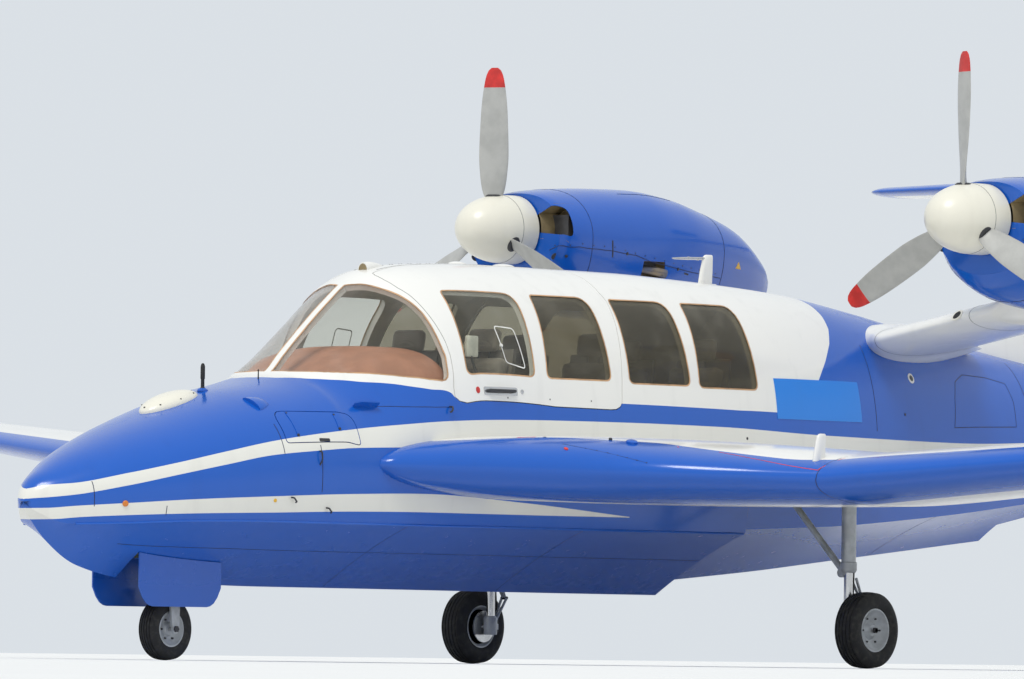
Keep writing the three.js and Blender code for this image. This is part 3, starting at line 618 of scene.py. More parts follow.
class Recipe:
    """One procedural material while it is put together."""

    def __init__(self, name):
        self.material = bpy.data.materials.new(name)
        self.material.use_nodes = True
        self.tree = self.material.node_tree
        self.tree.nodes.clear()

    def node(self, kind, settings=None, inputs=None, output=0):
        made = self.tree.nodes.new(kind)
        for key, value in (settings or {}).items():
            setattr(made, key, value)
        for key, value in (inputs or {}).items():
            if isinstance(value, Wire):
                self.tree.links.new(value.socket, made.inputs[key])
            else:
                made.inputs[key].default_value = value
        return Wire(self, made.outputs[output]) if made.outputs else None

    def place(self):
        return self.node("ShaderNodeTexCoord", output="Object")

    def stretched(self, scale):
        """Object coordinates scaled by three numbers."""
        return self.node("ShaderNodeMapping", None, {0: self.place(), 3: scale})

    def noise(self, scale, detail=3.0, where=None):
        """Noise value at the point that is shaded."""
        return self.node("ShaderNodeTexNoise", None, {
            "Vector": where or self.place(), "Scale": scale, "Detail": detail, "Roughness": 0.55})

    def ramp(self, value, low, high):
        """0 below low and 1 above high."""
        return self.node("ShaderNodeMapRange", {"interpolation_type": "SMOOTHSTEP"}, {
            "Value": value, "From Min": low, "From Max": high})

    def mix(self, factor, first, second):
        """Colour between two colours."""
        return self.node("ShaderNodeMix", {"data_type": "RGBA"}, {0: factor, 6: first, 7: second}, 2)

    def bump(self, height, strength, distance=0.001, under=None):
        """Normal that is bent by a height."""
        inputs = {"Height": height, "Strength": strength, "Distance": distance}
        if under:
            inputs["Normal"] = under
        return self.node("ShaderNodeBump", None, inputs)

    def height(self):
        """Height over the ground."""
        return self.node("ShaderNodeSeparateXYZ", None, {0: self.place()}, 2)

    def principled(self, **inputs):
        """Main shader with the named inputs set."""
        named = {key.replace("_", " "): value for key, value in inputs.items()}
        return self.node("ShaderNodeBsdfPrincipled", None, named)

    def done(self, shader):
        """Material whose surface is the shader."""
        self.node("ShaderNodeOutputMaterial", None, {"Surface": shader})
        return self.material


def tone(colour, share):
    """Colour made lighter or darker."""
    return tuple(min(1.0, c * share) for c in colour[:3]) + (1.0,)


def opaque(colour):
    """Colour with full alpha."""
    return (*colour[:3], 1.0)


def paint(name, colour, gloss=0.16, grime=0.25):
    """Sprayed gloss paint with faint orange peel, wavy panels, dust and run marks."""
    r = Recipe(name)
    cloud = r.noise(0.9, 4)
    streaks = r.noise(1.0, 4, r.stretched((9.0, 9.0, 0.8)))
    dust = r.ramp(r.noise(14.0, 6), 0.5, 0.78)
    low = 1 - r.ramp(r.height(), 0.15, 0.95)
    base = r.mix(cloud * 0.35, opaque(colour), tone(colour, 0.86))
    base = r.mix(r.ramp(streaks, 0.52, 0.8) * (grime * 0.5), base, tone(colour, 0.62))
    soil = (0.24, 0.22, 0.16, 1)
    base = r.mix(low * r.ramp(r.noise(0.8, 3), 0.35, 0.75) * (grime * 0.5), base, soil)
    rough = gloss + dust * 0.07 + low * 0.12 + cloud * 0.05
    peel = r.bump(r.noise(260.0, 2), 0.03, 0.0004)
    wave = r.bump(r.noise(2.2, 1), 0.15, 0.006, peel)
    return r.done(r.principled(
        Base_Color=base, Roughness=rough, Normal=wave, Specular_IOR_Level=0.5,
        Coat_Weight=0.2, Coat_Roughness=0.12))


def plain(name, colour, rough, metallic=0.0, grain=40.0, depth=0.15, spread=0.25):
    """Finish of small parts, with mottled colour, uneven roughness and a fine grain."""
    r = Recipe(name)
    mottle = r.noise(grain * 0.3, 5)
    base = r.mix(r.ramp(mottle, 0.3, 0.7), tone(colour, 1 - spread), tone(colour, 1 + spread * 0.5))
    fine = r.bump(r.noise(grain * 8, 4), depth, 0.0008)
    return r.done(r.principled(
        Base_Color=base, Roughness=r.noise(grain, 4) * 0.2 + (rough - 0.1), Metallic=metallic, Normal=fine))


def cloth(name, colour):
    """Woven seat cover with crossing threads and sheen."""
    r = Recipe(name)
    threads = [
        r.node("ShaderNodeTexWave", {"bands_direction": way}, {
            "Vector": r.place(), "Scale": 130.0, "Distortion": 0.6, "Detail": 1.0})
        for way in ("X", "Y", "Z")
    ]
    weave = (threads[0] + threads[1] + threads[2]) * 0.33
    worn = r.ramp(r.noise(6.0, 4), 0.4, 0.75)
    base = r.mix(weave, tone(colour, 0.55), tone(colour, 1.2))
    base = r.mix(worn * 0.35, base, tone(colour, 1.6))
    return r.done(r.principled(
        Base_Color=base, Roughness=0.82 + weave * 0.1, Sheen_Weight=0.35,
        Normal=r.bump(weave, 0.5, 0.0012)))


def glass(name, colour, film, gloss=0.03):
    """Curved acrylic. The film is how much of the pane's own colour hides what is behind it."""
    r = Recipe(name)
    smear = r.ramp(r.noise(5.0, 5), 0.4, 0.75)
    facing = r.node("ShaderNodeLayerWeight", None, {"Blend": 0.5}, 1)
    edge = facing * facing * facing * facing
    clear = r.node("ShaderNodeBsdfTransparent", None, {"Color": tone(colour, 1.0)})
    body = r.principled(
        Base_Color=r.mix(smear * 0.5, tone(colour, 0.5), tone(colour, 0.8)),
        Roughness=gloss + smear * 0.04, Specular_IOR_Level=0.8,
        Normal=r.bump(r.noise(3.0, 2), 0.2, 0.004))
    share = edge * (1 - film) + film + smear * 0.03
    return r.done(r.node("ShaderNodeMixShader", None, {0: share, 1: clear, 2: body}))


def tyre(name):
    """Rubber with dust in its pores and paler shoulders."""
    r = Recipe(name)
    dust = r.ramp(r.noise(30.0, 6), 0.45, 0.8)
    base = r.mix(dust * 0.6, (0.012, 0.012, 0.013, 1), (0.09, 0.085, 0.075, 1))
    return r.done(r.principled(
        Base_Color=base, Roughness=0.72 + dust * 0.2, Normal=r.bump(r.noise(320.0, 3), 0.35, 0.0008)))


def burnt(name):
    """Exhaust steel, straw and blue with heat, sooty at its end."""
    r = Recipe(name)
    heat = r.noise(9.0, 4)
    base = r.mix(r.ramp(heat, 0.35, 0.6), (0.30, 0.24, 0.17, 1), (0.16, 0.17, 0.22, 1))
    base = r.mix(r.ramp(r.noise(30.0, 5), 0.5, 0.8), base, (0.05, 0.045, 0.04, 1))
    grain = r.bump(r.noise(200.0, 3), 0.2, 0.0006)
    return r.done(r.principled(
        Base_Color=base, Metallic=0.85, Roughness=0.35 + heat * 0.25, Normal=grain))


def studio_floor(name, colour):
    """Plain matt floor."""
    r = Recipe(name)
    base = r.mix(r.noise(0.4, 5) * 0.6, opaque(colour), tone(colour, 0.93))
    return r.done(r.principled(Base_Color=base, Roughness=0.55 + r.noise(2.0, 4) * 0.2))


FINISH_MAKERS = {
    "blue_paint": lambda c: paint("blue_gloss", c.blue),
    "white_paint": lambda c: paint("white_gloss", c.white, grime=0.35),
    "stripe_paint": lambda c: paint("stripe_gloss", c.stripe, grime=0.35),
    "cream_paint": lambda c: paint("cream_satin", c.cream, 0.3, 0.3),
    "azure_film": lambda c: paint("azure_film", c.azure, 0.28, 0.1),
    "red_paint": lambda c: plain("red_marking", (0.62, 0.03, 0.025), 0.4),
    "yellow_paint": lambda c: plain("yellow_marking", (0.75, 0.42, 0.03), 0.4),
    "orange_plug": lambda c: plain("orange_plug", (0.65, 0.20, 0.03), 0.45),
    "seal": lambda c: plain("window_sealant", (0.52, 0.30, 0.15), 0.5, spread=0.3),
    "seam": lambda c: plain("panel_gap", (0.012, 0.022, 0.075), 0.7),
    "white_seam": lambda c: plain("cabin_gap", (0.16, 0.16, 0.15), 0.7),
    "windscreen_glass": lambda c: glass("windscreen_acrylic", (0.96, 0.96, 0.94), 0.03),
    "clear_side_glass": lambda c: glass("door_acrylic", (0.92, 0.92, 0.88), 0.04),
    "side_glass": lambda c: glass("tinted_acrylic", (0.64, 0.61, 0.52), 0.12),
    "lining": lambda c: plain("cabin_lining", (0.72, 0.68, 0.58), 0.8, spread=0.12),
    "carpet": lambda c: plain("cabin_carpet", (0.20, 0.19, 0.17), 0.95, grain=90.0, depth=0.6),
    "glareshield": lambda c: plain("glareshield_brown", (0.46, 0.22, 0.14), 0.7, spread=0.12),
    "panel_face": lambda c: plain("panel_grey", (0.07, 0.07, 0.075), 0.6),
    "dial_glass": lambda c: plain("dial_face", (0.012, 0.012, 0.012), 0.2),
    "dial_mark": lambda c: plain("dial_marks", (0.75, 0.75, 0.70), 0.5),
    "seat_fabric": lambda c: cloth("seat_cloth", c.seat),
    "seat_shell": lambda c: plain("seat_moulding", (0.22, 0.20, 0.17), 0.6),
    "dark_metal": lambda c: plain("dark_metal", (0.06, 0.06, 0.065), 0.45, 0.6),
    "engine_metal": lambda c: plain("engine_castings", (0.16, 0.16, 0.17), 0.5, 0.7),
    "bright_metal": lambda c: plain("polished_metal", (0.62, 0.62, 0.62), 0.22, 1.0, depth=0.05, spread=0.1),
    "gear_metal": lambda c: plain("gear_enamel", (0.46, 0.48, 0.50), 0.35, 0.2, depth=0.1),
    "duct": lambda c: plain("duct_tan", (0.30, 0.23, 0.12), 0.65),
    "bay": lambda c: plain("bay_primer", (0.22, 0.25, 0.17), 0.7),
    "exhaust": lambda c: burnt("exhaust_steel"),
    "tyre_rubber": lambda c: tyre("tyre_rubber"),
    # Black rubber for the hose and aerials, also used as painted shade for the inside of the pylon's hole.
    "rubber_and_hole_shade": lambda c: plain("rubber_and_hole_shade", (0.02, 0.02, 0.02), 0.75),
    "blade_paint": lambda c: plain("blade_grey", (0.42, 0.42, 0.40), 0.35, depth=0.08, spread=0.1),
    "grip": lambda c: plain("yoke_grip", (0.30, 0.30, 0.31), 0.5),
    "green_lens": lambda c: plain("green_lens", (0.02, 0.30, 0.10), 0.15),
    "red_lens": lambda c: plain("red_lens", (0.55, 0.02, 0.015), 0.15),
    "floor": lambda c: studio_floor("studio_floor", c.floor),
}
made_finishes = {}


def finish(name):
    """Material of a finish, made once."""
    if name not in made_finishes:
        made_finishes[name] = FINISH_MAKERS[name](bpy.context.scene.flying_boat_colours)
    return made_finishes[name]


def show(name, shell, finishes, body, replaces=(), sharp=32.0):
    """Mesh object of a shell that rides on a body."""
    mesh = bpy.data.meshes.new(name)
    mesh.from_pydata(shell.points.tolist(), [], shell.faces.tolist())
    for finish_name in finishes:
        mesh.materials.append(finish(finish_name))
    mesh.polygons.foreach_set("material_index", shell.finish.astype(np.int32))
    mesh.polygons.foreach_set("use_smooth", np.ones(len(shell.faces), bool))
    mesh.set_sharp_from_angle(angle=math.radians(sharp))
    if shell.corners.any():
        mesh.normals_split_custom_set(shell.corners.reshape(-1, 3).tolist())
    mesh.update()
    made = bpy.data.objects.new(name, mesh)
    bpy.context.scene.collection.objects.link(made)
    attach(made, body)
    if replaces:
        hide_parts(*replaces)
    return made


def show_pair(name, shell, finishes, body="airframe", replaces=(), sharp=32.0):
    """Port piece and its mirror image. Names of bodies and nodes may hold a {}."""
    for side, sign in SIDES:
        part = shell if sign > 0 else shell.mirrored()
        nodes = [node.format(side) for node in replaces]
        show(f"{name}_{side}", part, finishes, body.format(side), nodes, sharp)


# Paint lines of the fuselage as stations and heights
STRIPE_TOP = (
    (0.017, 0.057), (0.081, 0.078), (0.189, 0.090), (0.443, 0.147), (0.710, 0.206), (1.000, 0.270),
    (1.299, 0.330), (1.607, 0.375), (1.905, 0.409), (2.233, 0.439), (2.557, 0.464), (2.947, 0.480),
    (3.433, 0.488), (4.096, 0.491), (4.801, 0.487), (5.728, 0.463), (7.047, 0.452), (9.590, 0.560),
)
STRIPE_BOTTOM = (
    (0.005, 0.005), (0.065, 0.013), (0.176, 0.028), (0.431, 0.082), (0.696, 0.142), (0.982, 0.201),
    (1.277, 0.256), (1.582, 0.286), (1.870, 0.307), (2.400, 0.320), (3.400, 0.330), (5.900, 0.345),
    (7.047, 0.372), (9.590, 0.545),
)
LOWER_STRIPE_TOP = (
    (0.004, -0.044), (0.074, -0.041), (0.185, -0.029), (0.439, -0.009), (0.799, 0.017),
    (1.279, 0.041), (1.875, 0.065), (2.400, 0.075), (3.200, 0.040), (4.070, -0.018),
)
LOWER_STRIPE_BOTTOM = (
    (0.015, -0.103), (0.108, -0.098), (0.217, -0.086), (0.457, -0.071), (0.815, -0.056), (1.296, -0.043),
    (1.891, -0.027), (2.425, -0.022), (3.140, -0.022), (4.070, -0.020),
)
STRIPE_STEPS = np.unique(np.concatenate([np.linspace(0, 0.5, 60) ** 2 * 2, np.linspace(0.5, HULL_END, 260)]))


def band(top, bottom):
    """Outline of a stripe between two lines of the fuselage's side."""
    out = []
    for line, back in ((top, False), (bottom, True)):
        steps = STRIPE_STEPS[STRIPE_STEPS <= line[-1][0]]
        heights = Columns(line, np.sqrt)(np.maximum(steps, line[0][0]))[0]
        path = HULL.by_height(np.stack([np.maximum(steps, 1e-5), heights], -1))
        path[:, 0] = steps
        path[path[:, 1] > CROWN - 0.002, 1] = CROWN + 0.03
        path[path[:, 1] < 0.002, 1] = -0.03
        out.append(path[::-1] if back else path)
    return np.vstack(out)


# Cabin outlines on the fuselage. Lines of the side are stations and heights, lines of the roof
# stations and sides.
SCREEN_BAND = (
    (1.746, 0.000), (1.759, 0.134), (1.798, 0.205), (1.840, 0.263), (1.920, 0.3675), (2.029, 0.4466),
    (2.154, 0.5113), (2.291, 0.5667), (2.437, 0.6137), (2.594, 0.6504),
)
DOOR_FORE = (
    (2.612, 0.592), (2.611, 0.640), (2.627, 0.720), (2.634, 0.813), (2.630, 0.888), (2.613, 0.973),
    (2.592, 1.059), (2.572, 1.135),
)
DOOR_FORE_ROOF = ((2.552, 0.290), (2.545, 0.200), (2.550, 0.130))
DOOR_HINGE_Y = abs(JOINTS["door_left_hinge"]["pos_m"][1])
DOOR_AFT = (
    (4.058, 1.190), (4.064, 1.150), (4.044, 1.048), (4.022, 0.944), (3.988, 0.774), (3.965, 0.649),
    (3.958, 0.593),
)
DOOR_AFT_ROOF = ((4.020, 0.130), (4.045, 0.200), (4.058, 0.290))
DOOR_BOTTOM = ((3.940, 0.572), (3.905, 0.558), (3.860, 0.555), (3.400, 0.559), (2.700, 0.561), (2.645, 0.570))
WHITE_LOW = ((3.958, 0.593), (4.272, 0.591), (4.610, 0.587), (4.958, 0.582), (5.297, 0.580))
WHITE_AFT = (
    (5.420, 0.590), (5.503, 0.614), (5.629, 0.689), (5.726, 0.764), (5.842, 0.878), (5.942, 0.976),
    (6.013, 1.062), (6.046, 1.131),
)
WHITE_AFT_ROOF = ((6.056, 0.270), (6.058, 0.130), (6.058, 0.0))
WALL = 0.040  # cabin top and door, skin to lining
SKIN = 0.006
DOOR_GAP = 0.005

# Side windows. Columns: name, node and body of the pane, finish, lower fore and aft stations,
# upper fore and aft stations, low and top heights
WINDOWS = (
    ("door_window_front", "door_{}", "clear_side_glass", 2.722, 3.259, 2.760, 3.300, 0.716, 1.170),
    ("door_window_rear", "door_{}", "side_glass", 3.350, 3.888, 3.426, 3.896, 0.711, 1.168),
    ("cabin_window_front", "airframe", "side_glass", 4.032, 4.554, 4.078, 4.563, 0.702, 1.165),
    ("cabin_window_rear", "airframe", "side_glass", 4.622, 5.148, 4.690, 5.162, 0.695, 1.164),
)
WINDOW_RADII = (0.045, 0.045, 0.085, 0.030)
SCREEN_POST_Y = 0.022
SCREEN_SILL = (
    (1.853, 0.022), (1.856, 0.056), (1.867, 0.1455), (1.8872, 0.220), (1.929, 0.303), (1.9865, 0.3657),
    (2.0987, 0.443), (2.2206, 0.5106), (2.3567, 0.5666), (2.4808, 0.608), (2.5415, 0.6255),
)
SCREEN_CORNER = ((2.570, 0.682), (2.587, 0.697), (2.594, 0.716))
SCREEN_AFT = (
    (2.597, 0.737), (2.606, 0.812), (2.597, 0.876), (2.588, 0.962), (2.577, 1.037), (2.558, 1.091),
)
SCREEN_AFT_ROOF = ((2.534, 0.330), (2.494, 0.224), (2.466, 0.120), (2.440, 0.055))


def sizes():
    """Sizes that a user can change."""
    return bpy.context.scene.flying_boat_sizes


def window_loop(row):
    """Edge of one window pane."""
    *_, low_fore, low_aft, top_fore, top_aft, low, top = row
    corners = ((low_fore, low), (low_aft, low), (top_aft, top), (top_fore, top))
    return dense(HULL, HULL.by_height(rounded(corners, WINDOW_RADII)), closed=True)


def screen_loop():
    """Outline of the port windscreen pane."""
    top_s = SCREEN_AFT_ROOF[-1][0]
    fore = HULL.by_side(smooth_path(SCREEN_SILL, 60))
    post = HULL.by_side([(s, SCREEN_POST_Y) for s in np.linspace(top_s - 0.012, 1.853, 14)])
    whole = np.vstack([
        fore, HULL.by_height(SCREEN_CORNER + SCREEN_AFT), HULL.by_side(SCREEN_AFT_ROOF), post[:-1]])
    return dense(HULL, whole, closed=True)


def door_hole_path():
    """Edge of the door hole in the cabin top, from its fore low corner up, aft and down."""
    hinge_s = np.linspace(DOOR_FORE_ROOF[-1][0] + 0.012, DOOR_AFT_ROOF[0][0] - 0.012, 24)
    hinge = HULL.by_side([(s, DOOR_HINGE_Y) for s in hinge_s])
    return np.vstack([
        HULL.by_height(DOOR_FORE), HULL.by_side(DOOR_FORE_ROOF), hinge,
        HULL.by_side(DOOR_AFT_ROOF), HULL.by_height(DOOR_AFT)])


def cabin_base_path(with_door):
    """Lower edge of the cabin top from the roof before the windscreen to the roof behind the cabin."""
    parts = [HULL.by_side(smooth_path(SCREEN_BAND, 60)), HULL.by_height(DOOR_FORE[:1])]
    if with_door:
        parts.append(HULL.by_height(DOOR_BOTTOM[::-1]))
        parts.append(HULL.by_height(WHITE_LOW))
    else:
        parts.append(door_hole_path()[1:])
        parts.append(HULL.by_height(WHITE_LOW[1:]))
    parts += [HULL.by_height(WHITE_AFT), HULL.by_side(WHITE_AFT_ROOF)]
    return np.vstack(parts)


def closed_over_crown(path):
    """Loop of a path that starts and ends on the crown line, closed along it."""
    crown = [(s, CROWN) for s in np.linspace(path[-1, 0], path[0, 0], 80)[1:-1]]
    return dense(HULL, np.vstack([path, crown]), closed=True)


HATCH_FORE_S, HATCH_AFT_S = 1.380, 1.890
HATCH_LOW_Z, HATCH_TOP_Z = 0.320, 0.4915


def hatch_loop():
    """Edge of the nose hatch."""
    corners = (
        (HATCH_FORE_S, HATCH_LOW_Z), (HATCH_AFT_S, HATCH_LOW_Z),
        (HATCH_AFT_S, HATCH_TOP_Z), (HATCH_FORE_S, HATCH_TOP_Z))
    return dense(HULL, HULL.by_height(rounded(corners, (0.02, 0.02, 0.07, 0.07))), closed=True)


BAY_FORE_S, BAY_AFT_S, BAY_HALF, BAY_TOP_Z = 0.700, 1.330, 0.160, -0.060
NOSE_DOOR_Y = (0.1615, 0.1695)
HULL_COLUMNS = HULL.unplane(np.stack([np.arange(0.02, HULL_END + 1.6, 0.045)] * 2, -1))[0]
HULL_COLUMNS = HULL_COLUMNS[HULL_COLUMNS < HULL_END]
HULL_ROWS = np.concatenate([np.linspace(0, 1, 9), np.linspace(1, 2, 9)[1:], np.linspace(2, 3, 27)[1:]])


def hull_zones():
    """Finish numbers and outlines of the fuselage's paint."""
    return [
        (1, dense(HULL, band(STRIPE_TOP, STRIPE_BOTTOM), closed=True)),
        (1, dense(HULL, band(LOWER_STRIPE_TOP, LOWER_STRIPE_BOTTOM), closed=True)),
    ]


def build_fuselage():
    """The painted skin below the cabin top, with its nose bay and the hatch opening."""
    end = HULL_END + HULL_CAP
    base = cabin_base_path(with_door=True)
    along = np.unique(np.concatenate([HULL_COLUMNS, [HULL_END, *np.ravel(HULL_STEPS)]]))
    keel = [(s, 0.0) for s in along if not BAY_FORE_S <= s <= BAY_AFT_S]
    bay_s = np.linspace(BAY_FORE_S, BAY_AFT_S, 30)
    notch = [(s, BAY_HALF / y) for s, y in zip(bay_s, HULL.rows(bay_s)[1][2])]
    fore = [p for p in keel if p[0] < BAY_FORE_S]
    aft = [p for p in keel if p[0] > BAY_AFT_S]
    crown_aft = [(s, CROWN) for s in along[::-1] if s > base[-1, 0] + 0.01]
    crown_fore = [(s, CROWN) for s in along[::-1] if s < base[0, 0] - 0.01]
    tail = [(HULL_END + HULL_CAP * f, 0.0) for f in (0.6, 0.9, 0.99)]
    tail += [(end, v) for v in np.linspace(0, CROWN, 25)]
    tail += [(HULL_END + HULL_CAP * f, CROWN) for f in (0.99, 0.9, 0.6)]
    outline = np.vstack([
        [(0.0, 0.0)], fore, [(BAY_FORE_S, 0.0)], notch, [(BAY_AFT_S, 0.0)], aft, tail,
        crown_aft, dense(HULL, base)[::-1], crown_fore, [(0.0, v) for v in np.linspace(CROWN, 0, 40)[:-1]]])
    step = 0.03
    outline = dense(HULL, outline, step, closed=True)
    creases = [dense(HULL, [(s, 0.0), (s, BELT)], step) for s in np.ravel(HULL_STEPS)]
    creases.append(dense(HULL, [(0.001, CHINE), (HULL_END, CHINE)], step))
    creases += [np.array([(s, v) for v in HULL_ROWS]) for s in (
        HULL_END, HULL_END + HULL_CAP * 0.6, HULL_END + HULL_CAP * 0.9)]
    port, half = (
        trimmed(HULL, HULL_COLUMNS, HULL_ROWS, outline, holes, hull_zones(), creases)
        for holes in ([hatch_loop()], []))
    skin = joined(port, half.mirrored()).welded().thickened(SKIN, 2, 0)
    show("fuselage_skin", skin, ("blue_paint", "stripe_paint", "bay"), "airframe",
         ("hull_bow", "hull_bottom", "hull_tail", "cabin_side_left", "cabin_side_right"))


def build_cabin_top():
    """The white cabin top with its windscreen and side openings."""
    outline = closed_over_crown(cabin_base_path(with_door=False))
    holes = [screen_loop(), window_loop(WINDOWS[2]), window_loop(WINDOWS[3])]
    half = trimmed(HULL, HULL_COLUMNS, HULL_ROWS, outline, holes)
    shell = joined(half, half.mirrored()).welded().thickened(WALL, 1, 0)
    show("cabin_shell", shell, ("white_paint", "lining"), "airframe", ("cabin_top",))


def door_loop():
    """Edge of the port door."""
    path = door_hole_path()
    low = HULL.by_height(DOOR_BOTTOM)
    return inset(HULL, dense(HULL, np.vstack([path, low]), closed=True), DOOR_GAP)


def build_doors():
    """The two gull-wing doors."""
    holes = [window_loop(WINDOWS[0]), window_loop(WINDOWS[1])]
    door = trimmed(HULL, HULL_COLUMNS, HULL_ROWS, door_loop(), holes).thickened(WALL - 0.002, 1, 0)
    show_pair("door_shell", door, ("white_paint", "lining"), "door_{}", ("door_{}",))


GLASS_INSET = 0.005


def build_glass():
    """Windscreen and side panes with their sealant."""
    panes = [(row[0], row[1], row[2], window_loop(row)) for row in WINDOWS]
    panes.append(("windscreen", "airframe", "windscreen_glass", screen_loop()))
    for name, body, glazing, loop in panes:
        rim = inset(HULL, loop, 0.0006)
        pane = trimmed(HULL, HULL_COLUMNS, HULL_ROWS, rim)
        pane = pane.offset(-GLASS_INSET).thickened(sizes().glass_thickness)
        show_pair(f"{name}_pane", pane, (glazing,), body, (name + "_{}",))
        middle = inset(HULL, loop, sizes().seal_width / 2 - 0.002)
        seal = ribbon(HULL, middle, sizes().seal_width, 0.0, step=0.02, closed=True)
        show_pair(f"{name}_seal", seal, ("seal",), body)


def build_hatch():
    """The port nose hatch."""
    lid = trimmed(HULL, HULL_COLUMNS, HULL_ROWS, inset(HULL, hatch_loop(), DOOR_GAP), zones=hull_zones())
    show("nose_hatch_lid", lid.thickened(0.012, 2, 0), ("blue_paint", "stripe_paint", "bay"), "nose_hatch",
         ("nose_hatch",))


# Foils: wing, fin, tailplane and pylons

EDGE = 0.005  # half-thickness of a trailing edge
HINGE_GAP = 0.007
COVE_THICK, RIB_THICK = 0.002, 0.003
FOIL_SKIN = 0.0025


def aerofoil(x):
    """Half-thickness at a share of the chord, for unit thickness."""
    x = np.clip(x, 0, 1)
    return 5 * (0.2969 * np.sqrt(x) - 0.126 * x - 0.3516 * x**2 + 0.2843 * x**3 - 0.1036 * x**4)


class Foil(Surface):
    """Skin over a span and a chord coordinate: 0 leading edge, 1 and -1 the trailing edge of each face.

    Columns of its rows: span, leading edge, trailing edge, place of the middle plane, thickness.
    The middle plane's place is a height, or a side where the foil stands upright."""

    reach = (1.0, 1.6)

    def __init__(self, rows, straight=None, upright=False):
        self.rows = Columns(rows, straight=straight)
        self.upright = upright

    def half(self, span, s):
        """Half-thickness at a station."""
        lead, trail, _, thick = self.rows(span)
        share = (s - lead) / (trail - lead)
        round_edge = np.sqrt(np.clip((1 - share) / 0.003, 0, 1))
        return np.maximum(aerofoil(share) * thick, np.minimum(EDGE, thick / 6)) * np.where(
            share > 0.5, round_edge, 1) * np.where(share < 0.5, np.minimum(share / 1e-5, 1), 1)

    def spot(self, s, span, offset):
        """Point at a distance from the middle plane."""
        level = self.rows(span)[2]
        if self.upright:
            return place(s, level - offset, span)
        return place(s, span, level + offset)

    def at(self, u, v):
        span, w = np.broadcast_arrays(np.asarray(u, float), np.asarray(v, float))
        lead, trail, _, thick = self.rows(span)
        share = np.minimum(w**2, 1)
        round_edge = np.where(share > 0.5, np.sqrt(np.clip((1 - share) / 0.003, 0, 1)), 1)
        edge = np.where(share > 0.5, np.minimum(EDGE, thick / 6), 0)
        half = np.maximum(aerofoil(share) * thick, edge) * round_edge
        return self.spot(lead + (trail - lead) * share, span, half * np.sign(w))

    def coordinate(self, span, s, face):
        """Chord coordinate of a station on one face."""
        lead, trail, *_ = self.rows(span)
        return face * np.sqrt(np.clip((s - lead) / (trail - lead), 0, 1))


class Flap:
    """A moving surface at the back of a foil, hinged on a straight line."""

    def __init__(self, foil, hinge, inner, outer, shear=0.0):
        self.foil = foil
        self.hinge = hinge
        self.inner, self.outer = inner, outer
        self.shear = shear

    def chordwise(self, span, shares):
        """Stations and spans along a cut square to the hinge line, from hinge 0 to trailing edge 1."""
        start = self.hinge(span)
        s, across = start + 0 * shares, span + 0 * shares
        for _ in range(6):
            s = start + shares * (self.foil.rows(across)[1] - start)
            across = span - self.shear * (s - start)
        return s, across

    def lip(self, span):
        """Station of the edge of the fixed skin."""
        half = self.foil.half(span, self.hinge(span))
        return self.hinge(span) - np.sqrt((half + HINGE_GAP) ** 2 - half**2)

    def lip_share(self, span):
        """Chord coordinate of the edge in front of the flap."""
        start = self.hinge(span)
        return (self.lip(span) - start) / (self.foil.rows(span)[1] - start)

    def cut(self, face):
        """Edge of the cut-out in one face, from the trailing edge round to the trailing edge."""
        shares = np.linspace(0, 1, 9)
        path = []
        for span, way in ((self.inner, 1), (self.outer, -1)):
            low = float(self.lip_share(np.float64(span)))
            s, across = self.chordwise(span, low + (1 - low) * shares[::-1])
            ends = np.stack([across, self.foil.coordinate(across, s, face)], -1)
            ends[0, 1] = face
            path.append(ends[::way])
            if way > 0:
                spans = np.linspace(self.inner, self.outer, 24)[1:-1]
                lips = np.stack([spans, self.foil.coordinate(spans, self.lip(spans), face)], -1)
                path.append(lips)
        return np.vstack(path)

    def arc(self, span, radius, start, end, count=11):
        """Points round the hinge line in the cut's plane. Angle 0 points aft."""
        angle = np.radians(np.linspace(start, end, count))
        s = self.hinge(span) + radius * np.cos(angle)
        across = span - self.shear * (s - self.hinge(span))
        return self.foil.spot(s, across, radius * np.sin(angle))

    def ring(self, span):
        """Closed section of the moving surface."""
        span = np.float64(span)
        shares = np.linspace(0, 1, 9) ** 0.8
        s, across = self.chordwise(span, shares)
        half = self.foil.half(across, s)
        top = self.foil.spot(s, across, half)
        under = self.foil.spot(s, across, -half)
        nose = self.arc(span, half[0], 270, 90)
        return np.vstack([top, under[::-1][1:], nose[1:-1]])

    def moving(self):
        """Closed shell of the moving piece."""
        spans = np.linspace(self.inner + HINGE_GAP, self.outer - HINGE_GAP, 16)
        return loft([self.ring(span) for span in spans])

    def wall(self, spans):
        """Round wall in front of the moving surface."""
        rows = []
        for span in spans:
            half = float(self.foil.half(np.float64(span), self.hinge(span)))
            lean = math.degrees(math.asin(half / (half + HINGE_GAP)))
            rows.append(self.arc(span, half + HINGE_GAP, 180 - lean, 180 + lean, 13))
        return loft(rows, cap=False, closed=False).thickened(COVE_THICK)

    def cove(self):
        """The wall with the ribs at its ends."""
        ribs = [
            loft([self.ring(span), self.ring(span + way * RIB_THICK)])
            for span, way in ((self.inner, -1), (self.outer, 1))]
        return joined(self.wall(np.linspace(self.inner, self.outer, 16)), *ribs)


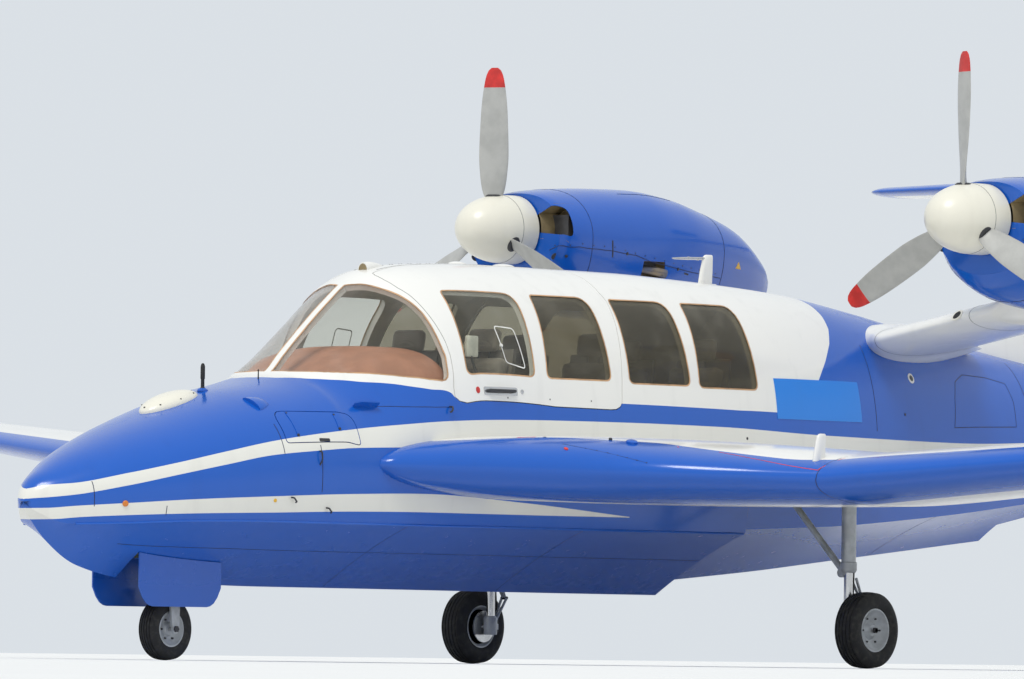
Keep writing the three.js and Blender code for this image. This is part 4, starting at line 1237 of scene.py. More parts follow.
# Wing sections from root to tip. Columns: side, leading edge, trailing edge, height, thickness
WING_ROWS = (
    (0.300, 1.930, 6.160, 0.225, 0.330),
    (0.700, 2.040, 6.150, 0.225, 0.345),
    (0.800, 2.200, 6.145, 0.225, 0.352),
    (1.000, 2.650, 6.130, 0.222, 0.358),
    (1.250, 3.140, 6.115, 0.216, 0.350),
    (1.600, 3.480, 6.090, 0.205, 0.328),
    (2.200, 3.790, 6.050, 0.190, 0.285),
    (4.000, 4.517, 6.260, 0.347, 0.215),
    (6.200, 5.406, 6.520, 0.540, 0.130),
    (6.320, 5.520, 6.500, 0.550, 0.090),
    (6.350, 5.610, 6.465, 0.553, 0.050),
    (6.360, 5.760, 6.400, 0.554, 0.000),
)
WING = Foil(WING_ROWS, straight=(2.2, 6.2))
WING_TIP = WING_ROWS[-1][0]
HINGE_SHARE = 0.74
HINGE_SHEAR = 0.191


def wing_hinge(span):
    """Station of the hinge line of flap and aileron."""
    lead, trail, *_ = WING.rows(span)
    return lead + (trail - lead) * HINGE_SHARE


FLAP = Flap(WING, wing_hinge, 2.250, 3.960, HINGE_SHEAR)
AILERON = Flap(WING, wing_hinge, 4.040, 6.120, HINGE_SHEAR)

# Edge of the white on the upper face. Columns: side, chord coordinate
WING_WHITE_EDGE = (
    (0.50, 0.290), (0.75, 0.318), (0.80, 0.342), (0.90, 0.425), (1.00, 0.411), (1.25, 0.380), (1.40, 0.339),
    (1.60, 0.294), (1.80, 0.259), (2.00, 0.236), (2.20, 0.262), (2.50, 0.282), (3.00, 0.272),
    (3.50, 0.262), (6.20, 0.262),
)
WING_WHITE_UNDER = -0.45
WELL_FORE_S, WELL_AFT_S, WELL_IN_Y, WELL_OUT_Y, WELL_TOP_Z = 4.915, 5.385, 0.760, 1.340, 0.150


def wing_root(count=81):
    """Where the wing goes into the hull: sides at chord coordinates from -1 to 1."""
    w = np.linspace(-1, 1, count)
    y = np.full(count, 0.64)
    for _ in range(12):
        x, _, z = WING.at(y, w).T
        s = NOSE_X - x
        y = HULL.at(s, HULL.girth_at_height(s, z - NOSE_HEIGHT))[:, 1] - 0.004
    return np.stack([y, w], -1)


def wing_well():
    """Edge of the main wheel's well in the underside."""
    corners = (
        (WELL_FORE_S, WELL_IN_Y), (WELL_AFT_S, WELL_IN_Y),
        (WELL_AFT_S, WELL_OUT_Y), (WELL_FORE_S, WELL_OUT_Y))
    s, y = rounded(corners, 0.05).T
    return dense(WING, np.stack([y, WING.coordinate(y, s, -1)], -1), 0.03, closed=True)


def pocket(surface, loop, top_z, finish=0):
    """Walls and roof of a pocket above a hole in an underside."""
    rim = surface.at(*loop.T)
    inner = rim.copy()
    inner[:, 2] = NOSE_HEIGHT + top_z
    centre = np.broadcast_to(inner.mean(0), inner.shape)
    sheet = joined(
        loft([rim, inner], cap=False, finish=finish),
        loft([inner, centre], cap=False, finish=finish)).welded()
    middle = rim.mean(0)
    a, b, c = (sheet.points[sheet.faces[:, i]] for i in range(3))
    faces_in = np.einsum("ij,ij->i", np.cross(b - a, c - a), middle - a).sum() > 0
    if not faces_in:
        sheet = Shell(sheet.points, sheet.faces[:, ::-1], sheet.finish)
    return sheet.thickened(0.002, finish, finish)


def build_wing():
    """Port wing with its strake, flap and aileron bays and wheel well, and its mirror image."""
    root = wing_root()
    outline = [root]
    for face in (1, -1):
        cuts = np.vstack([FLAP.cut(face), AILERON.cut(face)])
        outline.append(cuts if face > 0 else cuts[::-1])
        if face > 0:
            outline.append([(WING_TIP, w) for w in np.linspace(1, -1, 41)])
    outline = dense(WING, np.vstack(outline), 0.04, closed=True)
    edge_y = np.linspace(0.5, 6.2, 120)
    edge = np.stack([edge_y, Columns(WING_WHITE_EDGE)(edge_y)[0]], -1)
    over = np.vstack([edge, [(6.2, 1.02), (0.5, 1.02)]])
    under = np.array([(0.5, WING_WHITE_UNDER), (6.2, WING_WHITE_UNDER), (6.2, -1.02), (0.5, -1.02)])
    zones = [(1, dense(WING, over, 0.04, closed=True)), (1, dense(WING, under, 0.04, closed=True))]
    columns = np.concatenate([
        np.arange(0.62, 2.4, 0.06), np.arange(2.45, 6.2, 0.11), [6.2, 6.26, 6.3, 6.325, 6.34, 6.35, 6.356]])
    skin = trimmed(WING, columns, np.linspace(-1, 1, 61)[1:-1], outline, [wing_well()], zones)
    skin = skin.welded().thickened(FOIL_SKIN, 2, 0)
    parts = [skin] + [surface.cove().painted(2) for surface in (FLAP, AILERON)]
    parts.append(pocket(WING, wing_well(), WELL_TOP_Z, 2))
    show_pair("wing_skin", joined(*parts), ("blue_paint", "white_paint", "bay"),
              replaces=("wing_{}",))
    for name, surface in (("flap", FLAP), ("aileron", AILERON)):
        show_pair(f"{name}_skin", surface.moving(), ("white_paint",),
                  name + "_{}", (name + "_{}",))


# Fin and rudder sections upward. Columns: height, leading edge, trailing edge, side, thickness
FIN_ROWS = (
    (0.600, 7.000, 10.330, 0.0, 0.190),
    (0.800, 7.250, 10.362, 0.0, 0.190),
    (0.980, 7.520, 10.385, 0.0, 0.190),
    (1.150, 7.860, 10.405, 0.0, 0.185),
    (1.400, 8.260, 10.430, 0.0, 0.170),
    (1.700, 8.550, 10.470, 0.0, 0.150),
    (2.000, 8.800, 10.510, 0.0, 0.135),
    (2.877, 9.560, 10.640, 0.0, 0.090),
    (2.920, 9.650, 10.647, 0.0, 0.066),
    (2.934, 9.740, 10.649, 0.0, 0.030),
    (2.937, 9.820, 10.645, 0.0, 0.000),
)
FIN = Foil(FIN_ROWS, upright=True)
FIN_TOP_Z = FIN_ROWS[-1][0]
FIN_BAND_Z = 2.46  # foot of the blue cap
RUDDER_LOW_Z = 0.600
RUDDER_LOW_S, RUDDER_TOP_S = 9.680, 10.290
POST_S = HULL_END + HULL_CAP + 0.002


def rudder_line(z):
    """Station of the rudder's hinge line at a height."""
    return RUDDER_LOW_S + (RUDDER_TOP_S - RUDDER_LOW_S) * (z - RUDDER_LOW_Z) / (FIN_TOP_Z - RUDDER_LOW_Z)


RUDDER = Flap(FIN, rudder_line, RUDDER_LOW_Z, FIN_TOP_Z - 0.012)


def fin_foot(face):
    """Foot of the fin on the hull's back: heights and chord coordinates from the leading edge aft."""
    s = np.linspace(7.35, HULL_END - 0.01, 60)
    z = HULL.at(s, CROWN)[:, 2] - NOSE_HEIGHT
    for _ in range(8):
        half = FIN.half(z, s)
        z = HULL.at(s, HULL.girth_at_side(s, half))[:, 2] - NOSE_HEIGHT - 0.004
    lead = FIN.rows(z)[0]
    kept = s > lead + 0.004
    first = int(np.argmax(kept))
    foot = np.stack([z, FIN.coordinate(z, s, face)], -1)[kept]
    start = np.array([[z[first] + 0.001, 0.0]])
    return np.vstack([start, foot])


def build_fin():
    """Fin with its blue cap, and the rudder."""
    paths = []
    for face in (1, -1):
        foot = fin_foot(face)
        z = np.linspace(RUDDER_LOW_Z, FIN_TOP_Z - 0.001, 60)
        lip = np.stack([z, FIN.coordinate(z, RUDDER.lip(z), face)], -1)
        post = [(RUDDER_LOW_Z, float(FIN.coordinate(np.float64(RUDDER_LOW_Z), POST_S, face)))]
        paths.append(np.vstack([foot, post, lip]))
    top = [(FIN_TOP_Z, w) for w in np.linspace(paths[0][-1, 1], paths[1][-1, 1], 21)]
    outline = dense(FIN, np.vstack([paths[0], top, paths[1][::-1][:-1]]), 0.03, closed=True)
    columns = np.concatenate([np.arange(0.62, 2.85, 0.07), [2.877, 2.9, 2.915, 2.927, 2.932]])
    past_top, past_edge = 3.0, 1.02
    cap = np.array([
        (FIN_BAND_Z, -past_edge), (past_top, -past_edge), (past_top, past_edge), (FIN_BAND_Z, past_edge)])
    zones = [(1, dense(FIN, cap, 0.05, closed=True))]
    skin = trimmed(FIN, columns, np.linspace(-1, 1, 51), outline, zones=zones)
    skin = skin.welded().thickened(FOIL_SKIN, 2, 0)
    cove = RUDDER.wall(np.linspace(RUDDER_LOW_Z, FIN_TOP_Z - 0.03, 30)).painted(2)
    show("fin_skin", joined(skin, cove), ("white_paint", "blue_paint", "bay"),
         "airframe", ("fin",))
    spans = np.concatenate([
        np.linspace(RUDDER_LOW_Z, FIN_BAND_Z, 16), np.linspace(FIN_BAND_Z, RUDDER.outer, 8)[1:]])
    moving = loft([RUDDER.ring(z) for z in spans])
    middle = moving.points[moving.faces].mean(1)[:, 2] - NOSE_HEIGHT
    moving.finish[middle > FIN_BAND_Z] = 1
    show("rudder_skin", moving, ("white_paint", "blue_paint"), "rudder", ("rudder",))


# Tailplane sections. Columns: side, leading edge, trailing edge, height, thickness
TAIL_Z = 2.000
TAILPLANE_ROWS = (
    (0.082, 8.850, 9.760, TAIL_Z, 0.000),
    (0.085, 8.800, 9.790, TAIL_Z, 0.060),
    (0.092, 8.793, 9.800, TAIL_Z, 0.100),
    (1.820, 9.205, 9.960, TAIL_Z, 0.066),
    (1.920, 9.260, 9.955, TAIL_Z, 0.050),
    (1.955, 9.330, 9.925, TAIL_Z, 0.028),
    (1.965, 9.420, 9.880, TAIL_Z, 0.000),
)
TAILPLANE = Foil(TAILPLANE_ROWS, straight=(0.092, 1.820))
PIVOT_S = joint_place("stabiliser_pivot")[0]


def build_tailplane():
    """Both halves of the all-moving tailplane on one axle."""
    low, high = TAILPLANE_ROWS[0][0], TAILPLANE_ROWS[-1][0]
    round_w = np.linspace(-1, 1, 41)
    outline = np.vstack([[(low, w) for w in round_w], [(high, w) for w in round_w[::-1]]])
    outline = dense(TAILPLANE, outline, 0.04, closed=True)
    tip_y, past_y, edge, past_edge = 1.78, 2.0, 0.34, 1.02
    blue = np.array([
        (0.0, -edge), (tip_y, -edge), (tip_y, -past_edge), (past_y, -past_edge),
        (past_y, past_edge), (tip_y, past_edge), (tip_y, edge), (0.0, edge)])
    columns = np.concatenate([
        [0.088, 0.1], np.arange(0.15, 1.8, 0.09), [1.82, 1.87, 1.9, 1.93, 1.945, 1.958]])
    half = trimmed(TAILPLANE, columns, np.linspace(-1, 1, 41)[1:-1], outline,
                   zones=[(1, dense(TAILPLANE, blue, 0.05, closed=True))]).welded(1e-5)
    axle = lathe(((0.03, -0.1), (0.03, 0.1)), place(PIVOT_S, 0, TAIL_Z), (0, 1, 0), 24, finish=2)
    show("tailplane_skin", joined(half, half.mirrored(), axle), ("white_paint", "blue_paint", "gear_metal"),
         "stabiliser", ("stabiliser",))


# Engines

ENGINE_Y, ENGINE_Z = joint_place("propeller_left_spin")[1:]
# Nacelle sections about the engine's axis. Columns: station, half-breadth, top height, bottom height
NACELLE_ROWS = (
    (5.788, 0.342, 0.208, -0.300),
    (5.850, 0.370, 0.222, -0.375),
    (6.050, 0.388, 0.243, -0.450),
    (6.350, 0.392, 0.258, -0.485),
    (6.650, 0.388, 0.262, -0.485),
    (6.950, 0.362, 0.235, -0.470),
    (7.250, 0.310, 0.172, -0.445),
    (7.550, 0.235, 0.090, -0.410),
    (7.800, 0.150, -0.050, -0.370),
    (7.940, 0.080, -0.170, -0.338),
    (7.982, 0.042, -0.228, -0.312),
    (7.990, 0.000, -0.268, -0.268),
)
NACELLE_FORE_S, NACELLE_AFT_S = NACELLE_ROWS[0][0], NACELLE_ROWS[-1][0]
FULL_TURN = 360.0


class Nacelle(Surface):
    """Port nacelle over the station and an angle in degrees, 0 outboard and 90 on top."""

    reach = (1.0, 0.0063)

    def __init__(self):
        self.rows = Columns(NACELLE_ROWS)

    def at(self, u, v):
        s, angle = np.broadcast_arrays(np.asarray(u, float), np.radians(np.asarray(v, float)))
        half, top, bottom = self.rows(s)
        mean = (top + bottom) / 2
        middle = np.minimum(mean, np.minimum(0, mean + 0.06 * np.clip(half / 0.1, 0, 1)))
        middle = np.where(mean + 0.06 < 0, mean + 0.06 * np.clip(half / 0.1, 0, 1), 0)
        across, up = np.cos(angle), np.sin(angle)
        y = half * np.sign(across) * np.abs(across) ** 0.85
        reach = np.where(up > 0, top - middle, middle - bottom)
        return place(s, ENGINE_Y + y, ENGINE_Z + middle + reach * up)


NACELLE = Nacelle()
SPINNER_TIP_S, SPINNER_BASE_S, SPINNER_RADIUS = 5.345, 5.780, 0.195
SPINNER_SKIRT, SPINNER_SEAM = 0.095, 0.135  # forward of the spinner's base
INLET_AFT_S, INLET_LOW, INLET_TOP = 5.868, -6.0, 40.0
EXHAUST = ((6.474, -29.5), (6.690, -28.5), (6.665, -14.0), (6.474, -14.0))
DUCT_END_S = 5.96
# Exhaust stub. Columns: station, out from the engine's axis, down from it
PIPE_PATH = ((6.52, 0.30, 0.20), (6.57, 0.34, 0.205), (6.62, 0.37, 0.215), (6.66, 0.385, 0.225))
PIPE_RADIUS = 0.026


def both_cheeks(loop):
    """The loop, and its mirror image on the other side of the nacelle."""
    loop = np.array(loop, float)
    other = loop.copy()
    other[:, 1] = 180.0 - other[:, 1]
    return [loop, other]


def coat_engines():
    """Cast metal on the engine blocks of the frame, which stay as they are."""
    for side, _ in SIDES:
        bpy.data.objects["engine_" + side].data.materials[0] = finish("engine_metal")


def build_nacelles():
    """Port nacelle with cheek inlets and exhaust openings, and its mirror image."""
    start = -90.0
    reach = np.array(NACELLE.reach)
    corners = np.array([
        (NACELLE_FORE_S, INLET_LOW), (INLET_AFT_S, INLET_LOW + 3),
        (INLET_AFT_S, INLET_TOP - 2), (NACELLE_FORE_S, INLET_TOP)])
    notch = (rounded(corners * reach, (0.001, 0.025, 0.060, 0.001), 12) / reach).tolist()
    other = [(s, 180.0 - angle) for s, angle in reversed(notch)]
    nose = [(NACELLE_FORE_S, a) for a in np.arange(start, INLET_LOW, 6)] + notch
    nose += [(NACELLE_FORE_S, a) for a in np.arange(INLET_TOP + 4, 138, 6)] + other
    nose += [(NACELLE_FORE_S, a) for a in np.arange(192, start + FULL_TURN + 0.1, 6)]
    back = [(NACELLE_AFT_S, a) for a in np.linspace(start + FULL_TURN, start, 31)]
    along = np.linspace(NACELLE_FORE_S, NACELLE_AFT_S, 40)[1:-1]
    outline = np.vstack([
        nose, [(s, start + FULL_TURN) for s in along], back, [(s, start) for s in along[::-1]]])
    outline = dense(NACELLE, outline, 0.03, closed=True)
    exhausts = [dense(NACELLE, loop, 0.015, closed=True) for loop in both_cheeks(EXHAUST)]
    columns = np.concatenate([
        np.arange(5.80, 7.8, 0.05), [7.83, 7.86, 7.89, 7.92, 7.945, 7.96, 7.972, 7.982, 7.987]])
    skin = trimmed(NACELLE, columns, np.arange(start + 7, start + FULL_TURN, 7.5), outline, exhausts)
    skin = skin.welded(1e-5).thickened(0.003, 1, 0)
    parts = [skin]
    outboard = np.linspace(INLET_LOW - 4, INLET_TOP + 3, 14)
    for angles in (outboard, 180.0 - outboard):
        skin_end = NACELLE.at(DUCT_END_S, angles)
        across = skin_end - place(DUCT_END_S, ENGINE_Y, ENGINE_Z)
        across /= np.linalg.norm(across, axis=1, keepdims=True)
        fore = place(NACELLE_FORE_S, ENGINE_Y, ENGINE_Z) + across * (SPINNER_RADIUS + 0.004)
        deep = place(DUCT_END_S, ENGINE_Y, ENGINE_Z) + across * (SPINNER_RADIUS + 0.012)
        rows = np.stack([fore, deep, skin_end - across * 0.002], 1)
        floor = loft(rows, cap=False, closed=False)
        walls = [floor]
        for index in (0, -1):
            angle = angles[index]
            rim = NACELLE.at(np.linspace(DUCT_END_S, NACELLE_FORE_S + 0.002, 8), angle)
            rim = rim - across[index] * 0.002
            ring = np.vstack([fore[index], deep[index], rim])
            walls.append(loft([ring, ring + np.array([0, 0, 0.002])]))
        parts += [wall.painted(1) for wall in walls]
    for low, high in ((INLET_TOP, 180 - INLET_TOP), (180 - INLET_LOW, FULL_TURN + INLET_LOW)):
        angles = np.linspace(low, high, 24)
        outer = NACELLE.at(NACELLE_FORE_S, angles)
        hub = place(NACELLE_FORE_S + 0.001, ENGINE_Y, ENGINE_Z)
        away = outer - hub
        inner = hub + away / np.linalg.norm(away, axis=1, keepdims=True) * (SPINNER_RADIUS - 0.03)
        parts.append(loft([outer, inner], cap=False, closed=False).thickened(0.003))
    for loop in exhausts:
        rim = NACELLE.at(*loop.T) - NACELLE.normal(*loop.T) * 0.003
        centre = rim.mean(0)
        inward = np.array([centre[0], ENGINE_Y, centre[2]]) - centre
        inward /= np.linalg.norm(inward)
        inner = rim + inward * 0.09
        middle = np.broadcast_to(inner.mean(0), inner.shape)
        parts.append(joined(
            loft([rim, inner], cap=False), loft([inner, middle], cap=False)).welded().painted(1))
    show_pair("nacelle_skin", joined(*parts), ("blue_paint", "duct"),
              replaces=("nacelle_{}",))
    pipes = []
    for sign in (-1, 1):
        path = [place(s, ENGINE_Y + sign * out, ENGINE_Z - down) for s, out, down in PIPE_PATH]
        pipes.append(tube(path, PIPE_RADIUS, 20))
    show_pair("exhaust_pipes", joined(*pipes), ("exhaust",))


# Propeller blade sections. Columns: radius, chord, angle from the disc in degrees, thickness
BLADE_ROWS = (
    (0.100, 0.070, 62, 0.066),
    (0.150, 0.078, 56, 0.052),
    (0.210, 0.124, 48, 0.034),
    (0.300, 0.152, 41, 0.026),
    (0.420, 0.168, 34, 0.020),
    (0.640, 0.158, 25, 0.014),
    (0.840, 0.116, 20, 0.009),
    (0.895, 0.078, 18.5, 0.007),
    (0.912, 0.040, 18, 0.005),
)
BLADES = 3
CUFF_PROFILE = ((0.040, 0.13), (0.047, 0.170), (0.047, 0.185), (0.036, 0.193))
DISC_S = 5.600


def blade():
    """Twisted blade along the height from the hub's middle, with its red tip."""
    shape = Columns(BLADE_ROWS)
    ring = circle(28)
    rings = []
    red_from = sizes().blade_red_from
    for radius in np.unique(np.concatenate([np.linspace(0.10, 0.895, 34), [red_from, 0.905, 0.912]])):
        chord, angle, thick = shape(radius)
        pitch = math.radians(angle)
        lean = ring[:, 0] * 0.5
        high = ring[:, 1] * 0.5 * (1 - 0.35 * ring[:, 0])
        across = lean * chord * math.cos(pitch) - high * thick * math.sin(pitch)
        along = lean * chord * math.sin(pitch) + high * thick * math.cos(pitch)
        rings.append(np.stack([along, across, np.full(len(ring), radius)], -1))
    shell = loft(rings, finish=1)
    shell.finish[shell.points[shell.faces].mean(1)[:, 2] > red_from] = 2
    return shell


def build_propellers():
    """Spinner, hub shaft, three blades and their cuffs."""
    hub = place(DISC_S, ENGINE_Y, ENGINE_Z)
    length = SPINNER_BASE_S - SPINNER_TIP_S
    angle = np.linspace(0, np.pi / 2, 26)
    profile = [(0.001, 0.0), (SPINNER_RADIUS - 0.012, 0.0), (SPINNER_RADIUS, 0.004)]
    nose = length - SPINNER_SKIRT
    profile += [
        (SPINNER_RADIUS * max(math.cos(a), 0) ** 0.9 + 1e-5, SPINNER_SKIRT + nose * math.sin(a))
        for a in angle]
    base = place(SPINNER_BASE_S, ENGINE_Y, ENGINE_Z)
    spinner = lathe(profile, base, (1, 0, 0), 72)
    shaft = lathe(((0.045, -0.10), (0.045, 0.01)), base, (1, 0, 0), 24, finish=1)
    a = math.asin((SPINNER_SEAM - SPINNER_SKIRT) / nose)
    r = SPINNER_RADIUS * math.cos(a) ** 0.9
    seam = lathe(((r - 0.004, -0.0012), (r + 0.0008, -0.0012), (r + 0.0006, 0.0012), (r - 0.004, 0.0012)),
                 base + np.array([SPINNER_SEAM, 0, 0]), (1, 0, 0), 72, finish=3)
    blades, cuffs = [], []
    for i in range(BLADES):
        turn = np.array(Matrix.Rotation(i * 2 * math.pi / BLADES, 3, "X"))
        blades.append(blade().turned(turn, (0, 0, 0)).moved(hub))
        out = turn @ np.array([0.0, 0.0, 1.0])
        cuffs.append(lathe(CUFF_PROFILE, hub, out, 28, finish=3))
    shell = joined(spinner, shaft, seam, *blades, *cuffs)
    show_pair("propeller_unit", shell, ("cream_paint", "blade_paint", "red_paint", "dark_metal"),
              "propeller_{}", ("propeller_{}",))


# Pylon sections. Columns: side, leading edge, trailing edge, height, thickness
PYLON_ROWS = (
    (0.200, 6.400, 7.560, 0.985, 0.250),
    (0.360, 6.380, 7.460, 0.996, 0.235),
    (0.430, 6.350, 7.350, 1.000, 0.205),
    (0.500, 6.300, 7.250, 1.004, 0.168),
    (0.580, 6.255, 7.205, 1.011, 0.150),
    (1.400, 6.150, 7.120, 1.150, 0.145),
    (1.480, 6.140, 7.108, 1.165, 0.145),
    (1.620, 6.200, 7.050, 1.275, 0.110),
)
PYLON = Foil(PYLON_ROWS, straight=(0.58, 1.4))
PYLON_OUTER_Y = 1.60
PYLON_HOLE_Y = 1.20


def build_pylons():
    """Port pylon from where it meets the hull to inside the nacelle, and its mirror image."""
    w = np.linspace(-1, 1, 61)
    root = np.full(61, 0.40)
    for _ in range(14):
        x, _, z = PYLON.at(root, w).T
        s = NOSE_X - x
        root = root * 0.5 + 0.5 * (HULL.at(s, HULL.girth_at_height(s, z - NOSE_HEIGHT))[:, 1] - 0.004)
    root = np.maximum(root, 0.21)
    outline = np.vstack([np.stack([root, w], -1), [(PYLON_OUTER_Y, v) for v in w[::-1]]])
    outline = dense(PYLON, outline, 0.03, closed=True)
    skin = trimmed(PYLON, np.concatenate([np.arange(0.24, 0.62, 0.03), np.arange(0.66, 1.5, 0.08)]),
                   np.linspace(-1, 1, 49)[1:-1], outline).welded(1e-5)
    show_pair("pylon_skin", skin.thickened(FOIL_SKIN), ("white_paint",),
              replaces=("pylon_{}",))


# Landing gear

NOSE_WHEEL_S, _, NOSE_WHEEL_Z = joint_place("nose_wheel_spin")
MAIN_WHEEL_S, MAIN_WHEEL_Y, MAIN_WHEEL_Z = joint_place("main_wheel_left_spin")
GROUND_Z = -NOSE_HEIGHT
NOSE_RADIUS, NOSE_WIDTH = 0.1635, 0.110
MAIN_RADIUS, MAIN_WIDTH = 0.2080, 0.150
STEER_S = joint_place("nose_steering")[0]


def bar(a, b, radius, sides=20, finish=0):
    """Round bar between two points."""
    return tube([a, b], radius, sides, finish=finish)


GROOVES = 5
GROOVE_DEPTH, GROOVE_WIDTH = 0.004, 0.005
TREAD_SHARE = 0.62  # of the tyre's width


def wheel(centre, radius, width):
    """Tyre with circumferential grooves, and a bolted two-piece hub."""
    half = width / 2
    tread = []
    step = TREAD_SHARE * width / (GROOVES - 1)
    for i in range(GROOVES):
        w = -TREAD_SHARE / 2 * width + i * step
        crown = radius - 0.012 * (2 * w / width) ** 2
        floor = crown - GROOVE_DEPTH
        tread += [
            (crown, w - GROOVE_WIDTH / 2 - 0.001), (floor, w - GROOVE_WIDTH / 2),
            (floor, w + GROOVE_WIDTH / 2), (crown, w + GROOVE_WIDTH / 2 + 0.001)]
    rim = radius * 0.55
    side = [
        (rim, 0.40 * width), (rim + 0.012, 0.44 * width), (radius * 0.72, half), (radius * 0.84, half * 0.98),
        (radius * 0.93, half * 0.86), (radius * 0.975, half * 0.74)]
    profile = [(rim, -0.30 * width)] + [(r, -w) for r, w in side] + tread + list(reversed(side))
    profile += [(rim, 0.30 * width), (rim, -0.30 * width)]
    tyre_shell = lathe(profile, centre, (0, 1, 0), 72)
    dish = [
        (0.012, -0.20 * width), (0.030, -0.22 * width),
        (rim * 0.45, -0.16 * width), (rim * 0.80, -0.26 * width),
        (rim * 0.97, -0.42 * width), (rim + 0.004, -0.42 * width), (rim + 0.004, -0.38 * width),
        (rim - 0.003, -0.30 * width), (rim - 0.003, 0.30 * width), (rim + 0.004, 0.38 * width),
        (rim + 0.004, 0.42 * width), (rim * 0.97, 0.42 * width), (rim * 0.80, 0.26 * width),
        (rim * 0.45, 0.16 * width), (0.030, 0.30 * width), (0.012, 0.30 * width), (0.012, -0.20 * width)]
    hub = lathe(dish, centre, (0, 1, 0), 48, finish=1)
    bolts = []
    for x, z in circle(6, rim * 0.62):
        for face in (-1, 1):
            start = np.asarray(centre) + np.array([x, face * 0.16 * width, z])
            bolts.append(bar(start, start + np.array([0, face * 0.014, 0]), 0.006, 6, 2))
    return joined(tyre_shell, hub, *bolts)


def build_wheels():
    """Two main wheels and the nose wheel."""
    finishes = ("tyre_rubber", "gear_metal", "dark_metal")
    main = wheel(place(MAIN_WHEEL_S, MAIN_WHEEL_Y, MAIN_WHEEL_Z), MAIN_RADIUS, MAIN_WIDTH)
    show_pair("main_wheel_unit", main, finishes, "main_wheel_{}", ("main_wheel_{}",))
    nose = wheel(place(NOSE_WHEEL_S, 0, NOSE_WHEEL_Z), NOSE_RADIUS, NOSE_WIDTH)
    show("nose_wheel_unit", nose, finishes, "nose_wheel", ("nose_wheel",))


MAIN_LEG_Y = 1.290
MAIN_LEG_TOP_Z = 0.190
MAIN_SLEEVE_Z = -0.300  # lower end of the leg's outer tube
LINK_KNEE_Z = -0.45  # pin between the torque links
SLEEVE_PROFILE = ((0.040, 0.0), (0.040, -0.43), (0.046, -0.435), (0.046, -0.475), (0.038, -0.49))
KNUCKLE_PROFILE = ((0.036, -0.045), (0.038, -0.04), (0.038, 0.045), (0.030, 0.06))
UP = (0, 0, 1)


def build_main_legs():
    """Oleo leg, side brace, torque links and brake of the port main gear, and the mirror image."""
    s, y = MAIN_WHEEL_S, MAIN_LEG_Y
    axle_z = MAIN_WHEEL_Z
    sleeve = lathe(SLEEVE_PROFILE, place(s, y, MAIN_LEG_TOP_Z), UP, 32)
    chrome = bar(place(s, y, MAIN_SLEEVE_Z + 0.02), place(s, y, axle_z + 0.03), 0.025, 28, 1)
    knuckle = lathe(KNUCKLE_PROFILE, place(s, y, axle_z), UP, 28)
    axle = bar(place(s, y - 0.03, axle_z), place(s, MAIN_WHEEL_Y + 0.07, axle_z), 0.0115, 20, 1)
    cap = bar(place(s, MAIN_WHEEL_Y + 0.056, axle_z), place(s, MAIN_WHEEL_Y + 0.07, axle_z), 0.017, 6, 2)
    brace = bar(place(s, y - 0.02, -0.31), place(s, 0.805, 0.178), 0.018, 20)
    ends = [lathe(((0.026, -0.03), (0.026, 0.03)), point, (1, 0, 0), 20)
            for point in (place(s, y - 0.03, -0.30), place(s, 0.82, 0.165))]
    links = []
    knee_s = s + 0.115
    for start, z0, end, z1 in (
            (s + 0.045, -0.33, knee_s, LINK_KNEE_Z), (knee_s, LINK_KNEE_Z, s + 0.040, axle_z + 0.04)):
        for off in (-0.018, 0.018):
            links.append(bar(place(start, y + off, z0), place(end, y + off * 0.4, z1), 0.008, 10))
    pin = bar(place(knee_s, y - 0.022, LINK_KNEE_Z), place(knee_s, y + 0.022, LINK_KNEE_Z), 0.009, 12, 2)
    disc = lathe(((0.03, -0.004), (0.088, -0.004), (0.088, 0.004), (0.03, 0.004)),
                 place(s, MAIN_WHEEL_Y - 0.079, axle_z), (0, 1, 0), 40, finish=1)
    caliper = block((s + 0.045, y + 0.022, axle_z - 0.035), (s + 0.098, y + 0.062, axle_z + 0.045), 0.008, 2)
    arm = block((s + 0.02, y - 0.01, axle_z - 0.018), (s + 0.06, y + 0.026, axle_z + 0.018), 0.005)
    hose_path = [
        place(s + 0.07, y + 0.03, axle_z + 0.04), place(s + 0.06, y + 0.01, axle_z + 0.12),
        place(s + 0.042, y, -0.42), place(s + 0.047, y, -0.25), place(s + 0.045, y, 0.02)]
    hose = tube(hose_path, 0.005, 10, finish=3)
    shell = joined(sleeve, chrome, knuckle, axle, cap, brace, *ends, *links, pin, disc, caliper, arm, hose)
    show_pair("main_leg_unit", shell, ("gear_metal", "bright_metal", "dark_metal", "rubber_and_hole_shade"),
              replaces=("main_leg_{}",))


BARREL_PROFILE = ((0.034, -0.33), (0.034, -0.02), (0.040, -0.015), (0.040, 0.0))
COLLAR_PROFILE = ((0.0345, 0.0), (0.040, 0.003), (0.040, 0.035), (0.0345, 0.04))
COLLAR_Z = -0.395
FORK_PLATE = 0.014


